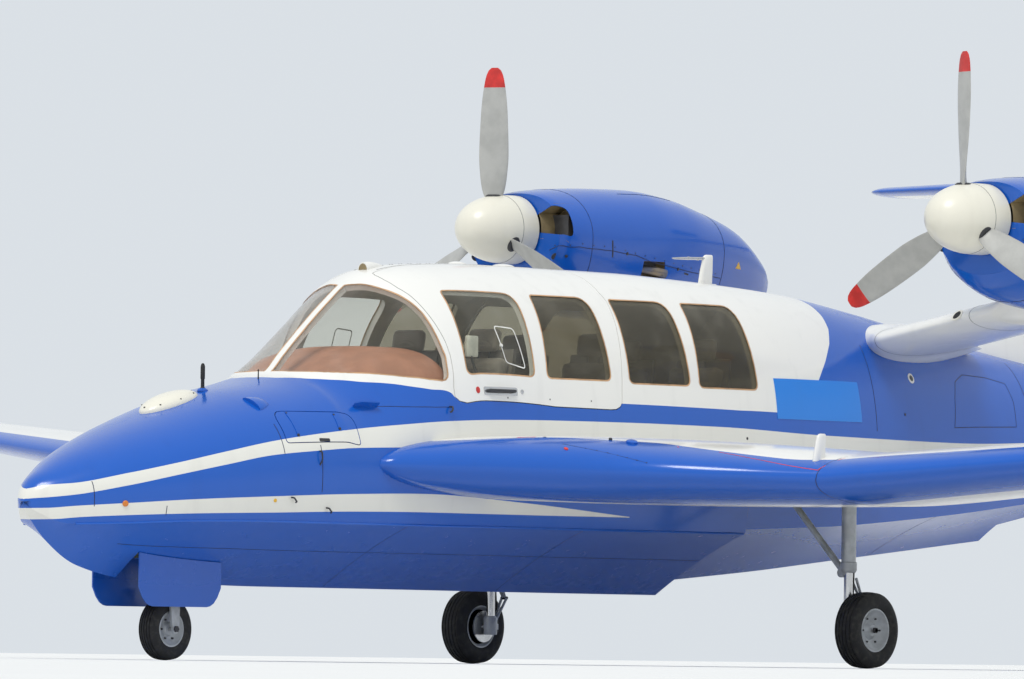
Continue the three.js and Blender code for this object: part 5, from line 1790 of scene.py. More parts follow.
def build_nose_leg():
    """Fixed barrel with its brace, and the steered stem, crown, plates and axle."""
    s = STEER_S
    barrel = lathe(BARREL_PROFILE, place(s, 0, BAY_TOP_Z + 0.007), UP, 32)
    collar = lathe(COLLAR_PROFILE, place(s, 0, COLLAR_Z), UP, 32)
    brace = bar(place(s, 0, -0.275), place(BAY_FORE_S + 0.05, 0, BAY_TOP_Z - 0.012), 0.013, 16)
    feet = [lathe(((0.02, -0.03), (0.02, 0.03)), point, (0, 1, 0), 16)
            for point in (place(s - 0.035, 0, -0.263), place(BAY_FORE_S + 0.055, 0, BAY_TOP_Z - 0.02))]
    show("nose_leg_unit", joined(barrel, collar, brace, *feet), ("gear_metal",),
         "airframe", ("nose_leg",))
    half = NOSE_WIDTH / 2 + 0.008
    crown_z = GROUND_Z + 0.360
    stem = bar(place(s, 0, crown_z - 0.01), place(s, 0, COLLAR_Z + 0.04), 0.020, 28, 1)
    out = half + 0.016
    crown = block((s - 0.040, -out, crown_z - 0.010), (s + 0.070, out, crown_z + 0.014), 0.006)
    edge_s, edge_z = rounded(np.array([
        (s - 0.012, crown_z), (s + 0.066, crown_z),
        (s + 0.062, NOSE_WHEEL_Z + 0.02), (s + 0.052, NOSE_WHEEL_Z - 0.024),
        (s + 0.020, NOSE_WHEEL_Z - 0.024), (s + 0.008, NOSE_WHEEL_Z + 0.02)]), 0.010, 5).T
    plates = [
        loft([place(edge_s, y, edge_z), place(edge_s, y + FORK_PLATE, edge_z)]) for y in (half, -out)]

    def across(start, end, radius, sides, finish):
        """Bar along the nose wheel's axle."""
        return bar(place(NOSE_WHEEL_S, start, NOSE_WHEEL_Z), place(NOSE_WHEEL_S, end, NOSE_WHEEL_Z),
                   radius, sides, finish)

    axle = across(-half - 0.019, half + 0.019, 0.0115, 20, 1)
    nuts = [across(sign * (half + 0.012), sign * (half + 0.023), 0.018, 6, 2) for sign in (-1, 1)]
    show("nose_fork_unit", joined(stem, crown, *plates, axle, *nuts),
         ("gear_metal", "bright_metal", "dark_metal"), "nose_fork", ("nose_fork",))


def build_nose_bay():
    """Walls and roof of the nose wheel bay, and its doors."""
    half = BAY_HALF
    s = np.linspace(BAY_FORE_S, BAY_AFT_S, 24)
    reach = HULL.rows(s)[1][2]
    low = HULL.at(s, half / reach)[:, 2] - NOSE_HEIGHT + 0.004
    ring_low = np.vstack([place(s, half, low), place(s[::-1], -half, low[::-1])])
    ring_top = ring_low.copy()
    ring_top[:, 2] = NOSE_HEIGHT + BAY_TOP_Z
    centre = np.broadcast_to(ring_top.mean(0), ring_top.shape)
    sheet = joined(loft([ring_low, ring_top], cap=False), loft([ring_top, centre], cap=False)).welded()
    ends = []
    for a, index in ((BAY_FORE_S, 0), (BAY_AFT_S, -1)):
        v = np.linspace(0, half / reach[index], 6)
        under = HULL.at(a, v)
        under[:, 2] += 0.004
        ring = np.vstack([under * np.array([1, -1, 1]), under[::-1]])
        ends.append(loft([ring, ring + np.array([0.003 if index else -0.003, 0, 0])]))
    show("nose_bay_liner", joined(sheet.thickened(0.002), *ends), ("bay",), "airframe")
    s = np.linspace(BAY_FORE_S + 0.002, BAY_AFT_S - 0.002, 24)
    top_line = HULL.at(s, 0.164 / HULL.rows(s)[1][2])[:, 2] - NOSE_HEIGHT - 0.002
    corner = (-0.44, -0.49, -0.52, -0.535)
    low_line = np.full(24, -0.540)
    low_line[:4] = corner
    low_line[-4:] = corner[::-1]
    door = loft([
        np.vstack([place(s, y, top_line), place(s[::-1], y, low_line[::-1])]) for y in NOSE_DOOR_Y])
    show_pair("nose_gear_door_panel", door, ("blue_paint",),
              replaces=("nose_gear_door_{}",))


# Cabin

FLOOR_Z = 0.0
CABIN_FORE_S, CABIN_AFT_S = 2.015, 5.880
LINING_DEPTH = 0.036
BULKHEAD = 0.010


def section_ring(s, low_z, top=CROWN, depth=LINING_DEPTH):
    """Half of the cabin's inner section at a station, from a height up to a girth."""
    v = np.linspace(HULL.girth_at_height(s, low_z), top, 40)
    return HULL.at(s, v) - HULL.normal(np.full(40, s), v) * depth


# Upper edge of the side lining: stations and heights
LINING_EDGE_S = (2.0, 2.3, 2.6, 4.0, 5.3, 5.5, 5.65, 5.88)
LINING_EDGE_Z = (0.62, 0.60, 0.555, 0.56, 0.55, 0.58, 0.68, 0.90)
LINING_THICK = 0.004
FLOOR_THICK = 0.012


def build_lining():
    """Side lining, floor and bulkheads."""
    s = np.linspace(CABIN_FORE_S, CABIN_AFT_S, 60)
    low = HULL.by_height(np.stack([s, 0 * s + FLOOR_Z - 0.02], -1))
    high = HULL.by_height(np.stack([s, np.interp(s, LINING_EDGE_S, LINING_EDGE_Z)], -1))
    outline = dense(HULL, np.vstack([low, high[::-1]]), 0.05, closed=True)
    side = trimmed(HULL, np.arange(2.0, 5.9, 0.06), HULL_ROWS, outline)
    side = side.offset(-LINING_DEPTH + LINING_THICK).thickened(LINING_THICK)
    floor_y = np.array([section_ring(a, FLOOR_Z)[0, 1] for a in s])
    plate = loft([
        np.vstack([place(s, floor_y, z), place(s[::-1], -floor_y[::-1], z)])
        for z in (FLOOR_Z - FLOOR_THICK, FLOOR_Z)])
    walls = []
    panel_girth = HULL.girth_at_height(CABIN_FORE_S, 0.66)
    for at_s, upper, skipped in ((CABIN_FORE_S, panel_girth, 0), (CABIN_AFT_S, CROWN, 1)):
        half = section_ring(at_s, FLOOR_Z, upper)
        ring = np.vstack([half, half[::-1][skipped:] * np.array([1, -1, 1])])
        walls.append(loft([ring, ring - np.array([BULKHEAD, 0, 0])]))
    show("cabin_lining", joined(side, side.mirrored(), *walls), ("lining",),
         "airframe", ("baggage_floor",))
    show("cabin_floor", plate, ("carpet",), "airframe")


SHIELD_FORE_S, SHIELD_AFT_S, SHIELD_HALF = 1.935, 2.660, 0.575


def shield_height(s, y):
    """Top of the glareshield."""
    rise = np.sin(np.clip((s - SHIELD_FORE_S) / (2.45 - SHIELD_FORE_S), 0, 1) * np.pi / 2) ** 1.2
    crown = 0.660 + 0.205 * rise * np.sqrt(1 - 0.98 * np.abs(y / SHIELD_HALF) ** 3.2)
    limit = HULL.at(s, HULL.girth_at_side(s, np.abs(y)))[..., 2] - NOSE_HEIGHT
    return np.minimum(crown, limit - 0.050)


# Lip of the glareshield's aft edge: distances aft and down
SHIELD_LIP = ((0.025, 0.010), (0.042, 0.030), (0.045, 0.053), (0.035, 0.070), (0.010, 0.073))
FACE_S = 2.600
FACE_CORNERS = ((-0.50, 0.380), (0.50, 0.380), (0.520, 0.735), (-0.520, 0.735))
DIAL_RING = ((0.049, -0.002), (0.049, 0.006), (0.044, 0.008), (0.044, -0.002))
DIAL_GLASS = ((0.044, 0.0), (0.044, 0.0022))
DIAL_TICKS = 12
LEVER_KNOB = ((0.004, -0.016), (0.014, -0.010), (0.014, 0.010), (0.004, 0.016))
# Half of a yoke from its hub: sides and heights
HORN = (
    (-0.15, 0.115), (-0.155, 0.06), (-0.135, 0.015), (-0.06, -0.012), (0.0, -0.016),
    (0.06, -0.012), (0.135, 0.015), (0.155, 0.06), (0.15, 0.115))
HOLDER_ARM = ((2.90, 0.51, 0.83), (2.905, 0.53, 0.77), (2.90, 0.575, 0.70), (2.90, 0.60, 0.66))


def dial(y, z, lean):
    """Ring, glass, ticks and needle of one round instrument."""
    spot = place(FACE_S, y, z)

    def ray(angle, start, end, ahead, radius, sides):
        way = np.array([0, math.cos(angle), math.sin(angle)])
        front = spot - np.array([ahead, 0, 0])
        return bar(front + way * start, front + way * end, radius, sides, 3)

    parts = [lathe(DIAL_RING, spot, (-1, 0, 0), 28, 2), lathe(DIAL_GLASS, spot, (-1, 0, 0), 28, 1)]
    for tick in range(DIAL_TICKS):
        parts.append(ray(tick * 2 * math.pi / DIAL_TICKS, 0.034, 0.041, 0.003, 0.0012, 5))
    return parts + [ray(lean, 0.0, 0.032, 0.004, 0.0016, 6)]


def build_panel():
    """Rounded glareshield with the instrument panel, dials, columns and pedestal below it."""
    rings = []
    for y in np.linspace(-SHIELD_HALF, SHIELD_HALF, 57):
        end = SHIELD_AFT_S - 0.045
        top_s = np.linspace(SHIELD_FORE_S, end, 30)
        top = shield_height(top_s, y)
        lip = top[-1]
        back = [(end + a, lip - b) for a, b in SHIELD_LIP]
        under = [(s, z - 0.03) for s, z in zip(top_s[::-1][2:], top[::-1][2:])]
        s, z = np.array([*zip(top_s, top), *back, *under]).T
        rings.append(place(s, y, z))
    show("glareshield", loft(rings), ("glareshield",), "airframe", ("instrument_panel",))
    y, z = rounded(FACE_CORNERS, (0.10, 0.10, 0.03, 0.03)).T
    parts = [loft([place(FACE_S, y, z), place(FACE_S - 0.02, y, z)])]
    for sign in (-1, 1):
        for row, z in enumerate((0.660, 0.545)):
            for column in range(3):
                parts += dial(sign * (0.17 + column * 0.115), z, 0.7 + column * 1.3 + row)
    for z in (0.69, 0.63, 0.57, 0.51):
        parts.append(block((FACE_S, -0.085, z - 0.024), (FACE_S + 0.012, 0.085, z + 0.024), 0.004, 1))
    parts.append(block((2.56, -0.085, 0.0), (2.84, 0.085, 0.40), 0.02, 0))
    parts.append(block((2.60, -0.07, 0.40), (2.80, 0.07, 0.44), 0.02, 2))
    for y in (-0.045, -0.015, 0.015, 0.045):
        parts.append(bar(place(2.68, y, 0.42), place(2.66, y, 0.515), 0.005, 10, 2))
        parts.append(lathe(LEVER_KNOB, place(2.66, y, 0.52), (0, 1, 0), 16, 2))
    for y in (-0.285, 0.285):
        parts.append(bar(place(FACE_S - 0.01, y, 0.56), place(2.705, y, 0.585), 0.013, 16, 2))
        horn = [place(2.72, y + side, 0.585 + up) for side, up in HORN]
        parts.append(tube(smooth_path(horn, 40), 0.013, 14, finish=4))
        parts.append(block((2.695, y - 0.05, 0.55), (2.73, y + 0.05, 0.605), 0.012, 4))
    show("cockpit_controls", joined(*parts), ("panel_face", "dial_glass", "dark_metal", "dial_mark", "grip"),
         "airframe")
    tray = block((2.86, 0.50, 0.815), (2.955, 0.52, 0.93), 0.008, 1)
    arm = tube(smooth_path([place(*spot) for spot in HOLDER_ARM], 16), 0.007, 10)
    show("door_map_holder", joined(tray, arm), ("dark_metal", "dial_mark"), "door_left")


# Seats. Stations are given from the seat's own station.
SEAT_STATIONS = (("front", 3.000), ("middle", 3.900), ("rear", 4.800))
SEAT_Y = 0.272
CUSHION_SIZE = (0.400, 0.385, 0.090)
BACK_SIZE = (0.105, 0.385, 0.560)
HEAD_SIZE = (0.075, 0.230, 0.140)
CLOTH_FRAMES = 20
CLOTH_CAP = 0.014
VOXEL = 0.010


def stuffed(name, size):
    body = bmesh.new()
    bmesh.ops.create_cube(body, size=1)
    bmesh.ops.scale(body, vec=[length - 2 * CLOTH_CAP * 0.6 for length in size], verts=body.verts)
    bmesh.ops.bevel(
        body, geom=body.edges[:], offset=min(size) * 0.34, segments=4, affect="EDGES", profile=0.5)
    mesh = bpy.data.meshes.new(name)
    body.to_mesh(mesh)
    body.free()
    pad = bpy.data.objects.new(name, mesh)
    scene = bpy.context.scene
    scene.collection.objects.link(pad)
    remesh = pad.modifiers.new("voxels", "REMESH")
    remesh.mode = "VOXEL"
    remesh.voxel_size = VOXEL
    rest = evaluated(pad)
    start = np.array([v.co for v in rest.vertices])
    shape = start
    pad.modifiers.clear()
    pad.data = rest
    cloth_modifier = pad.modifiers.new("filling", "CLOTH")
    settings = cloth_modifier.settings
    settings.use_pressure = True
    settings.uniform_pressure_force = 4.0
    settings.effector_weights.gravity = 0.0
    cloth_modifier.point_cache.frame_end = CLOTH_FRAMES
    for step in range(1, CLOTH_FRAMES + 1):
        scene.frame_set(step)
    swollen = evaluated(pad)
    moved = np.array([v.co for v in swollen.vertices]) - start
    length = np.linalg.norm(moved, axis=1, keepdims=True)
    shape = start + moved * np.minimum(1, CLOTH_CAP / np.maximum(length, 1e-9))
    pad.modifiers.clear()
    scene.frame_set(1)
    rest.vertices.foreach_set("co", shape.ravel())
    pad.data = rest
    smooth = pad.modifiers.new("smooth", "SUBSURF")
    smooth.levels = smooth.render_levels = 1
    fine = evaluated(pad)
    points = np.array([v.co for v in fine.vertices])
    fine.calc_loop_triangles()
    faces = np.array([t.vertices for t in fine.loop_triangles])
    bpy.data.objects.remove(pad)
    return points, faces


def evaluated(made):
    """Copy of an object's mesh with its modifiers applied."""
    graph = bpy.context.evaluated_depsgraph_get()
    return bpy.data.meshes.new_from_object(made.evaluated_get(graph))


def sewn(points, axis, lines, across, depth=0.007, width=0.011):
    """Points pressed in along straight sewn channels and a piped border."""
    out = points.copy()
    limit = np.abs(points).max(0)
    sign = np.sign(points[:, across])
    share = np.clip(np.abs(points[:, across]) / limit[across], 0, 1) ** 2
    for line in lines:
        gap = points[:, axis] - line
        out[:, across] -= sign * share * depth * np.exp(-(gap / width) ** 2)
    rim = np.clip(np.abs(points[:, across]) / limit[across], 0, 1)
    welt = np.exp(-((rim - 0.55) / 0.10) ** 2) * 0.003
    flat = [i for i in range(3) if i != across]
    away = points[:, flat] / limit[flat]
    edge = np.clip(np.abs(away).max(1) - 0.8, 0, 0.2) * 5
    out[:, flat] += np.sign(points[:, flat]) * (welt * edge)[:, None]
    return out


# Outline of a seat's back shell from the side: stations from the seat's own, heights
SHELL_BACK = ((0.205, 0.19), (0.245, 0.19), (0.335, 0.86), (0.312, 0.872), (0.262, 0.58))


def seat_frame(station, y):
    """Pan, headrest rods, back shell, rails and legs of one seat."""
    parts = [block((station - 0.235, y - 0.195, 0.180), (station + 0.175, y + 0.195, 0.214), 0.015, 0)]
    for side in (y - 0.04, y + 0.04):
        low, high = place(station + 0.274, side, 0.80), place(station + 0.290, side, 0.90)
        parts.append(bar(low, high, 0.006, 10, 1))
    s, z = rounded(SHELL_BACK, (0.015, 0.02, 0.02, 0.01, 0.05), 5).T
    parts.append(loft([place(station + s, side, z) for side in (y - 0.185, y + 0.185)]))
    for side in (y - 0.15, y + 0.15):
        low, high = (station - 0.20, side - 0.012, 0.0), (station + 0.16, side + 0.012, 0.016)
        parts.append(block(low, high, 0.004, 1))
        for foot in (-0.16, 0.12):
            parts.append(bar(
                place(station + foot, side, 0.01), place(station + foot * 0.8, side, 0.19), 0.012, 12, 1))
    return joined(*parts)


def build_seats():
    """Six seats with filled cushions on moulded shells."""
    cushion, cushion_faces = stuffed("cushion_form", CUSHION_SIZE)
    back, back_faces = stuffed("back_form", BACK_SIZE)
    head, head_faces = stuffed("head_form", HEAD_SIZE)
    cushion = sewn(cushion, 0, (-0.09, 0.0, 0.09), 2)
    back = sewn(back, 2, (-0.16, -0.05, 0.06, 0.17), 0)
    lean = math.atan2(0.100, 0.560)
    tilt = np.array(Matrix.Rotation(-lean, 3, "Y"))
    rise = np.array(Matrix.Rotation(math.radians(-4), 3, "Y"))
    for row, station in SEAT_STATIONS:
        for side, sign in SIDES:
            name = f"seat_{row}_{side}"
            y = sign * SEAT_Y
            pads = (
                ("cushion", cushion, cushion_faces, rise, (station - 0.035, y, 0.262)),
                ("back", back, back_faces, tilt, (station + 0.215, y, 0.565)),
                ("headrest", head, head_faces, tilt, (station + 0.285, y, 0.918)),
            )
            for kind, points, faces, turn, centre in pads:
                pad = Shell(points @ turn.T + place(*centre), faces)
                made = show(f"{name}_{kind}", pad, ("seat_fabric",), "airframe", sharp=60)
            show(f"{name}_frame", seat_frame(station, y), ("seat_shell", "dark_metal"),
                 "airframe", (name,))


# Trim

def on_hull(s, z):
    """Station and girth of a place on the side."""
    return s, float(HULL.girth_at_height(s, z))


def hull_spot(s, v, lift=0.0):
    """Point over the hull at a station and girth."""
    return HULL.at(s, v) + HULL.normal(s, v) * lift


def knob(surface, u, v, radius, height, sides=16, finish=0, sink=0.003):
    """Small round boss that stands on a surface."""
    away = surface.normal(u, v)
    return lathe(
        ((radius, -sink), (radius, height * 0.6), (radius * 0.8, height * 0.9), (radius * 0.3, height)),
        surface.at(u, v), away, sides, finish)


def decal(surface, loop, lift=0.0008, finish=0, step=0.02):
    """Thin patch on a surface inside an outline."""
    loop = dense(surface, loop, step, closed=True)
    low, high = loop.min(0), loop.max(0)
    columns, rows = (
        np.linspace(low[i], high[i], max(3, int((high[i] - low[i]) * surface.reach[i] / 0.03)))
        for i in (0, 1))
    patch = trimmed(surface, columns, rows, loop, clear=0.006)
    return patch.offset(lift).thickened(lift * 0.9).painted(finish)


SEAM = 0.004  # usual width of a seam


def hull_line(points, width=SEAM):
    """Seam through places on the hull's side."""
    return ribbon(HULL, HULL.by_height(points), width, 0.0006)


def hull_knob(s, z, radius, height, sides=16, finish=0):
    """Boss on the hull's side."""
    return knob(HULL, *on_hull(s, z), radius, height, sides, finish)


def hull_hook(s, z, steps, count, radius):
    """Bent wire that stands out of the hull's side, through places counted from its foot."""
    foot = hull_spot(*on_hull(s, z))
    return tube(smooth_path([foot, *(foot + step for step in steps)], count), radius, 10, finish=3)


AZURE_CORNERS = ((5.30, 0.545), (6.10, 0.545), (6.10, 0.767), (5.30, 0.767))
HANDRAIL_STEPS = ((0.004, 0.018, -0.006), (0.004, 0.022, -0.040), (0.004, 0.006, -0.074))
DRAIN_STEPS = ((0, 0.020, 0.0), (0.006, 0.026, -0.020), (0.014, 0.016, -0.030))
HOOK_STEPS = ((0.0, 0.022, -0.004), (-0.012, 0.026, -0.020), (-0.022, 0.012, -0.026))


def build_hull_trim():
    """Seams, static ports, plates and small fittings of the hull."""
    blue = [
        hull_line([(1.600, 0.315), (1.603, 0.250), (1.606, 0.160), (1.608, 0.070)]),
        hull_line([(0.262, 0.100), (0.266, 0.040), (0.270, -0.030)]),
        hull_line([(1.350, 0.420), (1.352, 0.342), (1.354, 0.262)]),
        hull_line([(2.085, 0.530), (2.250, 0.533), (2.420, 0.536), (2.566, 0.538)], 0.003),
        hull_line([(6.250, 0.50), (6.255, 0.75), (6.262, 0.98)]),
        hull_line([(7.905, 0.60), (7.905, 0.78), (7.905, 0.93)]),
        hull_line([
            (7.067, 0.539), (7.115, 0.708), (7.165, 0.800), (7.273, 0.843), (7.535, 0.834),
            (7.735, 0.807), (7.760, 0.700), (7.740, 0.560), (7.067, 0.539)]),
        hull_line([(0.640, -0.020), (0.642, -0.070)]),
    ]
    ring_v, low_v = np.linspace(0.03, 2.97, 90), np.linspace(0.02, 1.0, 40)
    for s, v in ((8.70, ring_v), (2.30, low_v), (3.70, low_v), (6.90, low_v)):
        blue.append(ribbon(HULL, np.stack([0 * v + s, v], -1), SEAM, 0.0005))
    plank_s = np.linspace(0.02, 5.04, 200)[20:]
    blue.append(ribbon(HULL, np.stack([plank_s, 0 * plank_s + 0.5], -1), SEAM, 0.0005))
    show_pair("hull_seams", joined(*blue), ("seam",))
    spray_s = np.linspace(0.20, 5.03, 160)
    spray = tube(HULL.at(spray_s, CHINE) + np.array([0, 0.001, -0.002]), sizes().rail_radius, 8)
    show_pair("spray_rail", spray, ("blue_paint",))
    parts = [
        hull_knob(1.296, 0.020, 0.010, 0.003, 16, 1),
        hull_knob(0.417, -0.012, 0.016, 0.010, 18, 2),
        hull_knob(6.685, 0.806, 0.030, 0.003, 24, 4),
        hull_knob(6.685, 0.806, 0.019, 0.0042, 24, 3),
        hull_hook(1.590, 0.285, HANDRAIL_STEPS, 16, 0.004),
        hull_hook(2.566, 0.540, DRAIN_STEPS, 12, 0.005),
        hull_hook(1.402, 0.038, HOOK_STEPS, 14, 0.0045),
        hull_hook(1.652, -0.012, HOOK_STEPS, 14, 0.0045),
    ]
    for s, z in ((5.02, 0.43), (6.55, 0.60), (8.30, 0.75)):
        parts.append(hull_knob(s, z, 0.008, 0.002, 14, 3))
    show_pair("hull_fittings", joined(*parts),
              ("blue_paint", "yellow_paint", "orange_plug", "dark_metal", "white_paint"))
    fore, aft = (on_hull(s, 0.528) for s in (1.931, 2.085))
    base, end = HULL.at(*fore), HULL.at(*aft)
    away = HULL.normal(2.0, fore[1])
    plate = np.array([
        base - away * 0.004, base + away * 0.030, base * 0.75 + end * 0.25 + away * 0.044,
        end + away * 0.040, end - away * 0.004])
    fence = [plate + np.array([0, 0, lift]) for lift in (-0.003, 0.003)]
    scoop = []
    centre = np.array(on_hull(1.385, 0.535))
    for t in np.linspace(0, 1, 12):
        half = 0.050 * math.sin(math.pi * (0.5 + t / 2))
        scoop.append([
            hull_spot(
                centre[0] - 0.045 + 0.09 * t, centre[1] + math.cos(a) * (0.05 + half) * 0.9,
                0.022 * math.sin(a) * math.sqrt(max(1 - t**2, 0)) - 0.002)
            for a in np.linspace(0, math.pi, 13)])
    show_pair("bow_plate", joined(loft(fence), loft(scoop)), ("blue_paint",))
    rect = HULL.by_height(AZURE_CORNERS)
    show_pair("azure_panel", decal(HULL, rect, 0.0022), ("azure_film",))


HANDLE_CORNERS = ((2.835, 0.612), (3.100, 0.612), (3.100, 0.655), (2.835, 0.655))
CLEAR_VIEW_CORNERS = ((3.045, 0.790), (3.190, 0.760), (3.165, 0.975), (3.020, 0.985))


def build_door_trim():
    """Handle, lock and markings on the doors, and seams of the cabin."""
    plate = decal(HULL, HULL.by_height(rounded(HANDLE_CORNERS, 0.012)), 0.0018, 0)
    a, b = (hull_spot(*on_hull(s, 0.634), 0.016) for s in (2.870, 3.065))
    grip = tube(smooth_path([hull_spot(*on_hull(2.862, 0.634), -0.002), a, (a + b) / 2 + (0, 0.003, 0), b,
                             hull_spot(*on_hull(3.073, 0.634), -0.002)], 30), 0.0085, 14, finish=1)
    oval_path = HULL.by_height([(2.790 + 0.015 * x, 0.636 + 0.018 * z) for x, z in circle(24)])
    oval = decal(HULL, oval_path, 0.0012, 2, 0.006)
    lock = hull_knob(3.138, 0.635, 0.012, 0.004, 20, 3)
    ticks = [hull_knob(s, 0.600, 0.0045, 0.0012, 10, 1) for s in (3.02, 3.36, 3.70)]
    show_pair("door_handle", joined(plate, grip, oval, lock, *ticks),
              ("bright_metal", "dark_metal", "red_paint", "bright_metal"), "door_{}")
    frame_loop = HULL.by_height(rounded(CLEAR_VIEW_CORNERS, 0.022))
    frame_ring = ribbon(HULL, frame_loop, 0.007, -0.001, 0, 0.01, closed=True)
    latch = hull_knob(3.033, 0.88, 0.010, 0.006, 14, 0)
    show_pair("clear_view_frame", joined(frame_ring, latch), ("dial_mark",), "door_{}")
    beads = [knob(HULL, s, 2.996, 0.0035, 0.0016, 8) for s in np.arange(2.75, 5.9, 0.075)]
    seam = ribbon(HULL, np.stack([np.linspace(2.62, 6.03, 90), np.full(90, 2.935)], -1), 0.003, 0.0004, 1)
    show_pair("cabin_rivets", joined(*beads, seam), ("dark_metal", "white_seam"))


# Masts upward. Columns: height, leading edge, trailing edge, side, thickness
ROOF_MAST_ROWS = (
    (1.225, 5.372, 5.502, 0.0, 0.030),
    (1.440, 5.425, 5.510, 0.0, 0.026),
    (1.456, 5.434, 5.509, 0.0, 0.018),
    (1.462, 5.450, 5.500, 0.0, 0.000),
)
WING_MAST_ROWS = (
    (0.275, 3.850, 3.950, 2.10, 0.030),
    (0.400, 3.880, 3.955, 2.10, 0.024),
    (0.418, 3.890, 3.954, 2.10, 0.016),
    (0.424, 3.905, 3.945, 2.10, 0.000),
)


WHIP_PROFILE = (
    (0.017, -0.003), (0.016, 0.012), (0.010, 0.020), (0.0095, 0.060),
    (0.012, 0.066), (0.012, 0.128), (0.008, 0.142), (0.003, 0.146))
DOME_S, DOME_Z, DOME_LEAN = 1.090, 0.520, math.radians(15)
DOME_LONG, DOME_HALF, DOME_HIGH = 0.205, 0.105, 0.062


def dome_spot(x, y, z):
    """Place in the frame of the antenna dome, which leans with the bow."""
    along = x * math.cos(DOME_LEAN) + z * math.sin(DOME_LEAN)
    return place(DOME_S - along, y, DOME_Z - x * math.sin(DOME_LEAN) + z * math.cos(DOME_LEAN))


def roof_height(s):
    """Height of the roof's middle line."""
    return HULL.at(s, CROWN)[2] - NOSE_HEIGHT


def mast_shell(rows, count, heights):
    """Upright foil through a few heights."""
    foil = Foil(rows, upright=True)
    w = np.linspace(-1, 1, count)
    return loft([foil.at(z, w)[:-1] for z in heights])


def build_masts():
    """Air data mast, roof scoop, aerials and the antenna dome."""
    mast = mast_shell(ROOF_MAST_ROWS, 41, (1.225, 1.30, 1.38, 1.44, 1.45, 1.458, 1.4615))
    probe_path = [place(s, 0, z) for s, z in ((5.45, 1.440), (5.25, 1.434), (5.18, 1.432), (5.162, 1.432))]
    probe = tube(probe_path, (0.0085, 0.0075, 0.0055, 0.003), 16, finish=1)
    bands = [
        lathe(((0.0095, -0.004), (0.0095, 0.004)), place(s, 0, 1.4365), (1, 0, 0), 16, 1)
        for s in (5.38, 5.30)]
    foot = block((5.355, -0.028, 1.280), (5.515, 0.028, 1.300), 0.006)
    show("air_data_mast_unit", joined(mast, probe, *bands, foot), ("white_paint", "bright_metal"), "airframe",
         ("air_data_mast",))
    rings = []
    angle = np.linspace(0, math.pi, 15)
    for t in np.linspace(0, 1, 20):
        s = 2.600 + 0.16 * t
        half = 0.035 * (1 - t) ** 0.5 + 0.001
        high = 0.042 * (1 - t**1.6) + 0.001
        rings.append(place(s, half * np.cos(angle), roof_height(s) - 0.003 + high * np.sin(angle)))
    scoop = loft(rings)
    mouth_s = 2.5985
    mouth_z = roof_height(mouth_s) + 0.034 * np.sin(angle)
    mouth = loft([place(s, 0.029 * np.cos(angle), mouth_z) for s in (mouth_s, mouth_s + 0.002)]).painted(1)
    x, y = circle(28).T
    humps = []
    for at_s, long in ((3.36, 0.060), (3.74, 0.085)):
        low = roof_height(at_s) - 0.004
        humps.append(loft([
            place(at_s + x * long * math.cos(a), y * 0.045 * math.cos(a), low + 0.018 * math.sin(a))
            for a in np.linspace(0, math.pi / 2 - 0.05, 8)]))
    show("roof_scoop", joined(scoop, mouth, *humps), ("white_paint", "duct"), "airframe")
    base = HULL.at(1.350, CROWN)
    whip = lathe(WHIP_PROFILE, base, (0, 0, 1), 24, 1)
    socket = lathe(((0.030, -0.004), (0.029, 0.006), (0.020, 0.014)), base, (0, 0, 1), 24, 0)
    pin_base = HULL.at(1.716, HULL.girth_at_side(1.716, 0.061))
    pin = lathe(((0.004, -0.003), (0.003, 0.040), (0.005, 0.044), (0.002, 0.050)), pin_base, (0, 0, 1), 12, 1)
    show("bow_aerial", joined(whip, socket, pin), ("blue_paint", "rubber_and_hole_shade"),
         "airframe")
    x, y = circle(48).T
    rings = []
    for t in np.linspace(0.0, 1.0, 14):
        narrow = math.sqrt(max(1 - t**2, 0))
        rings.append(dome_spot(x * DOME_LONG * narrow, y * DOME_HALF * narrow, DOME_HIGH * t))
    skirt = rings[0] + np.array([0, 0, -0.03])
    dome = loft([skirt, *rings]).welded(1e-5)
    screws = [
        lathe(((0.005, -0.004), (0.005, 0.0012)), dome_spot(a * 0.185, b * 0.092, 0.030), (0.25, 0, 1), 10, 1)
        for a, b in circle(48)[::6]]
    show("antenna_dome", joined(dome, *screws), ("cream_paint", "dark_metal"), "airframe",
         ("antenna_fairing",))


LATCH_CORNERS = ((1.60, 0.335), (1.67, 0.335), (1.67, 0.352), (1.60, 0.352))


def build_hatch_trim():
    """Hinge straps and latch plate of the nose hatch."""
    parts = []
    for s, low in ((1.470, 0.365), (1.757, 0.405)):
        path = HULL.by_height([(s, 0.484), (s, 0.440), (s, low)])
        parts.append(ribbon(HULL, path, 0.012, 0.003))
        parts.append(knob(HULL, s, path[-1, 1], 0.008, 0.006, 14, 1))
        parts.append(knob(HULL, s, path[0, 1] - 0.01, 0.006, 0.005, 14, 1))
    latch = decal(HULL, HULL.by_height(rounded(LATCH_CORNERS, 0.006)), 0.0014, 1)
    show("hatch_straps", joined(*parts, latch), ("blue_paint", "dark_metal"), "nose_hatch")


def wing_line(points, width=SEAM, finish=0):
    """Seam or painted line through sides and chord coordinates of the wing."""
    return ribbon(WING, np.array(points, float), width, 0.0006, finish)


TIP_LAMP_CORNERS = ((6.215, -0.16), (6.325, -0.16), (6.325, 0.16), (6.215, 0.16))


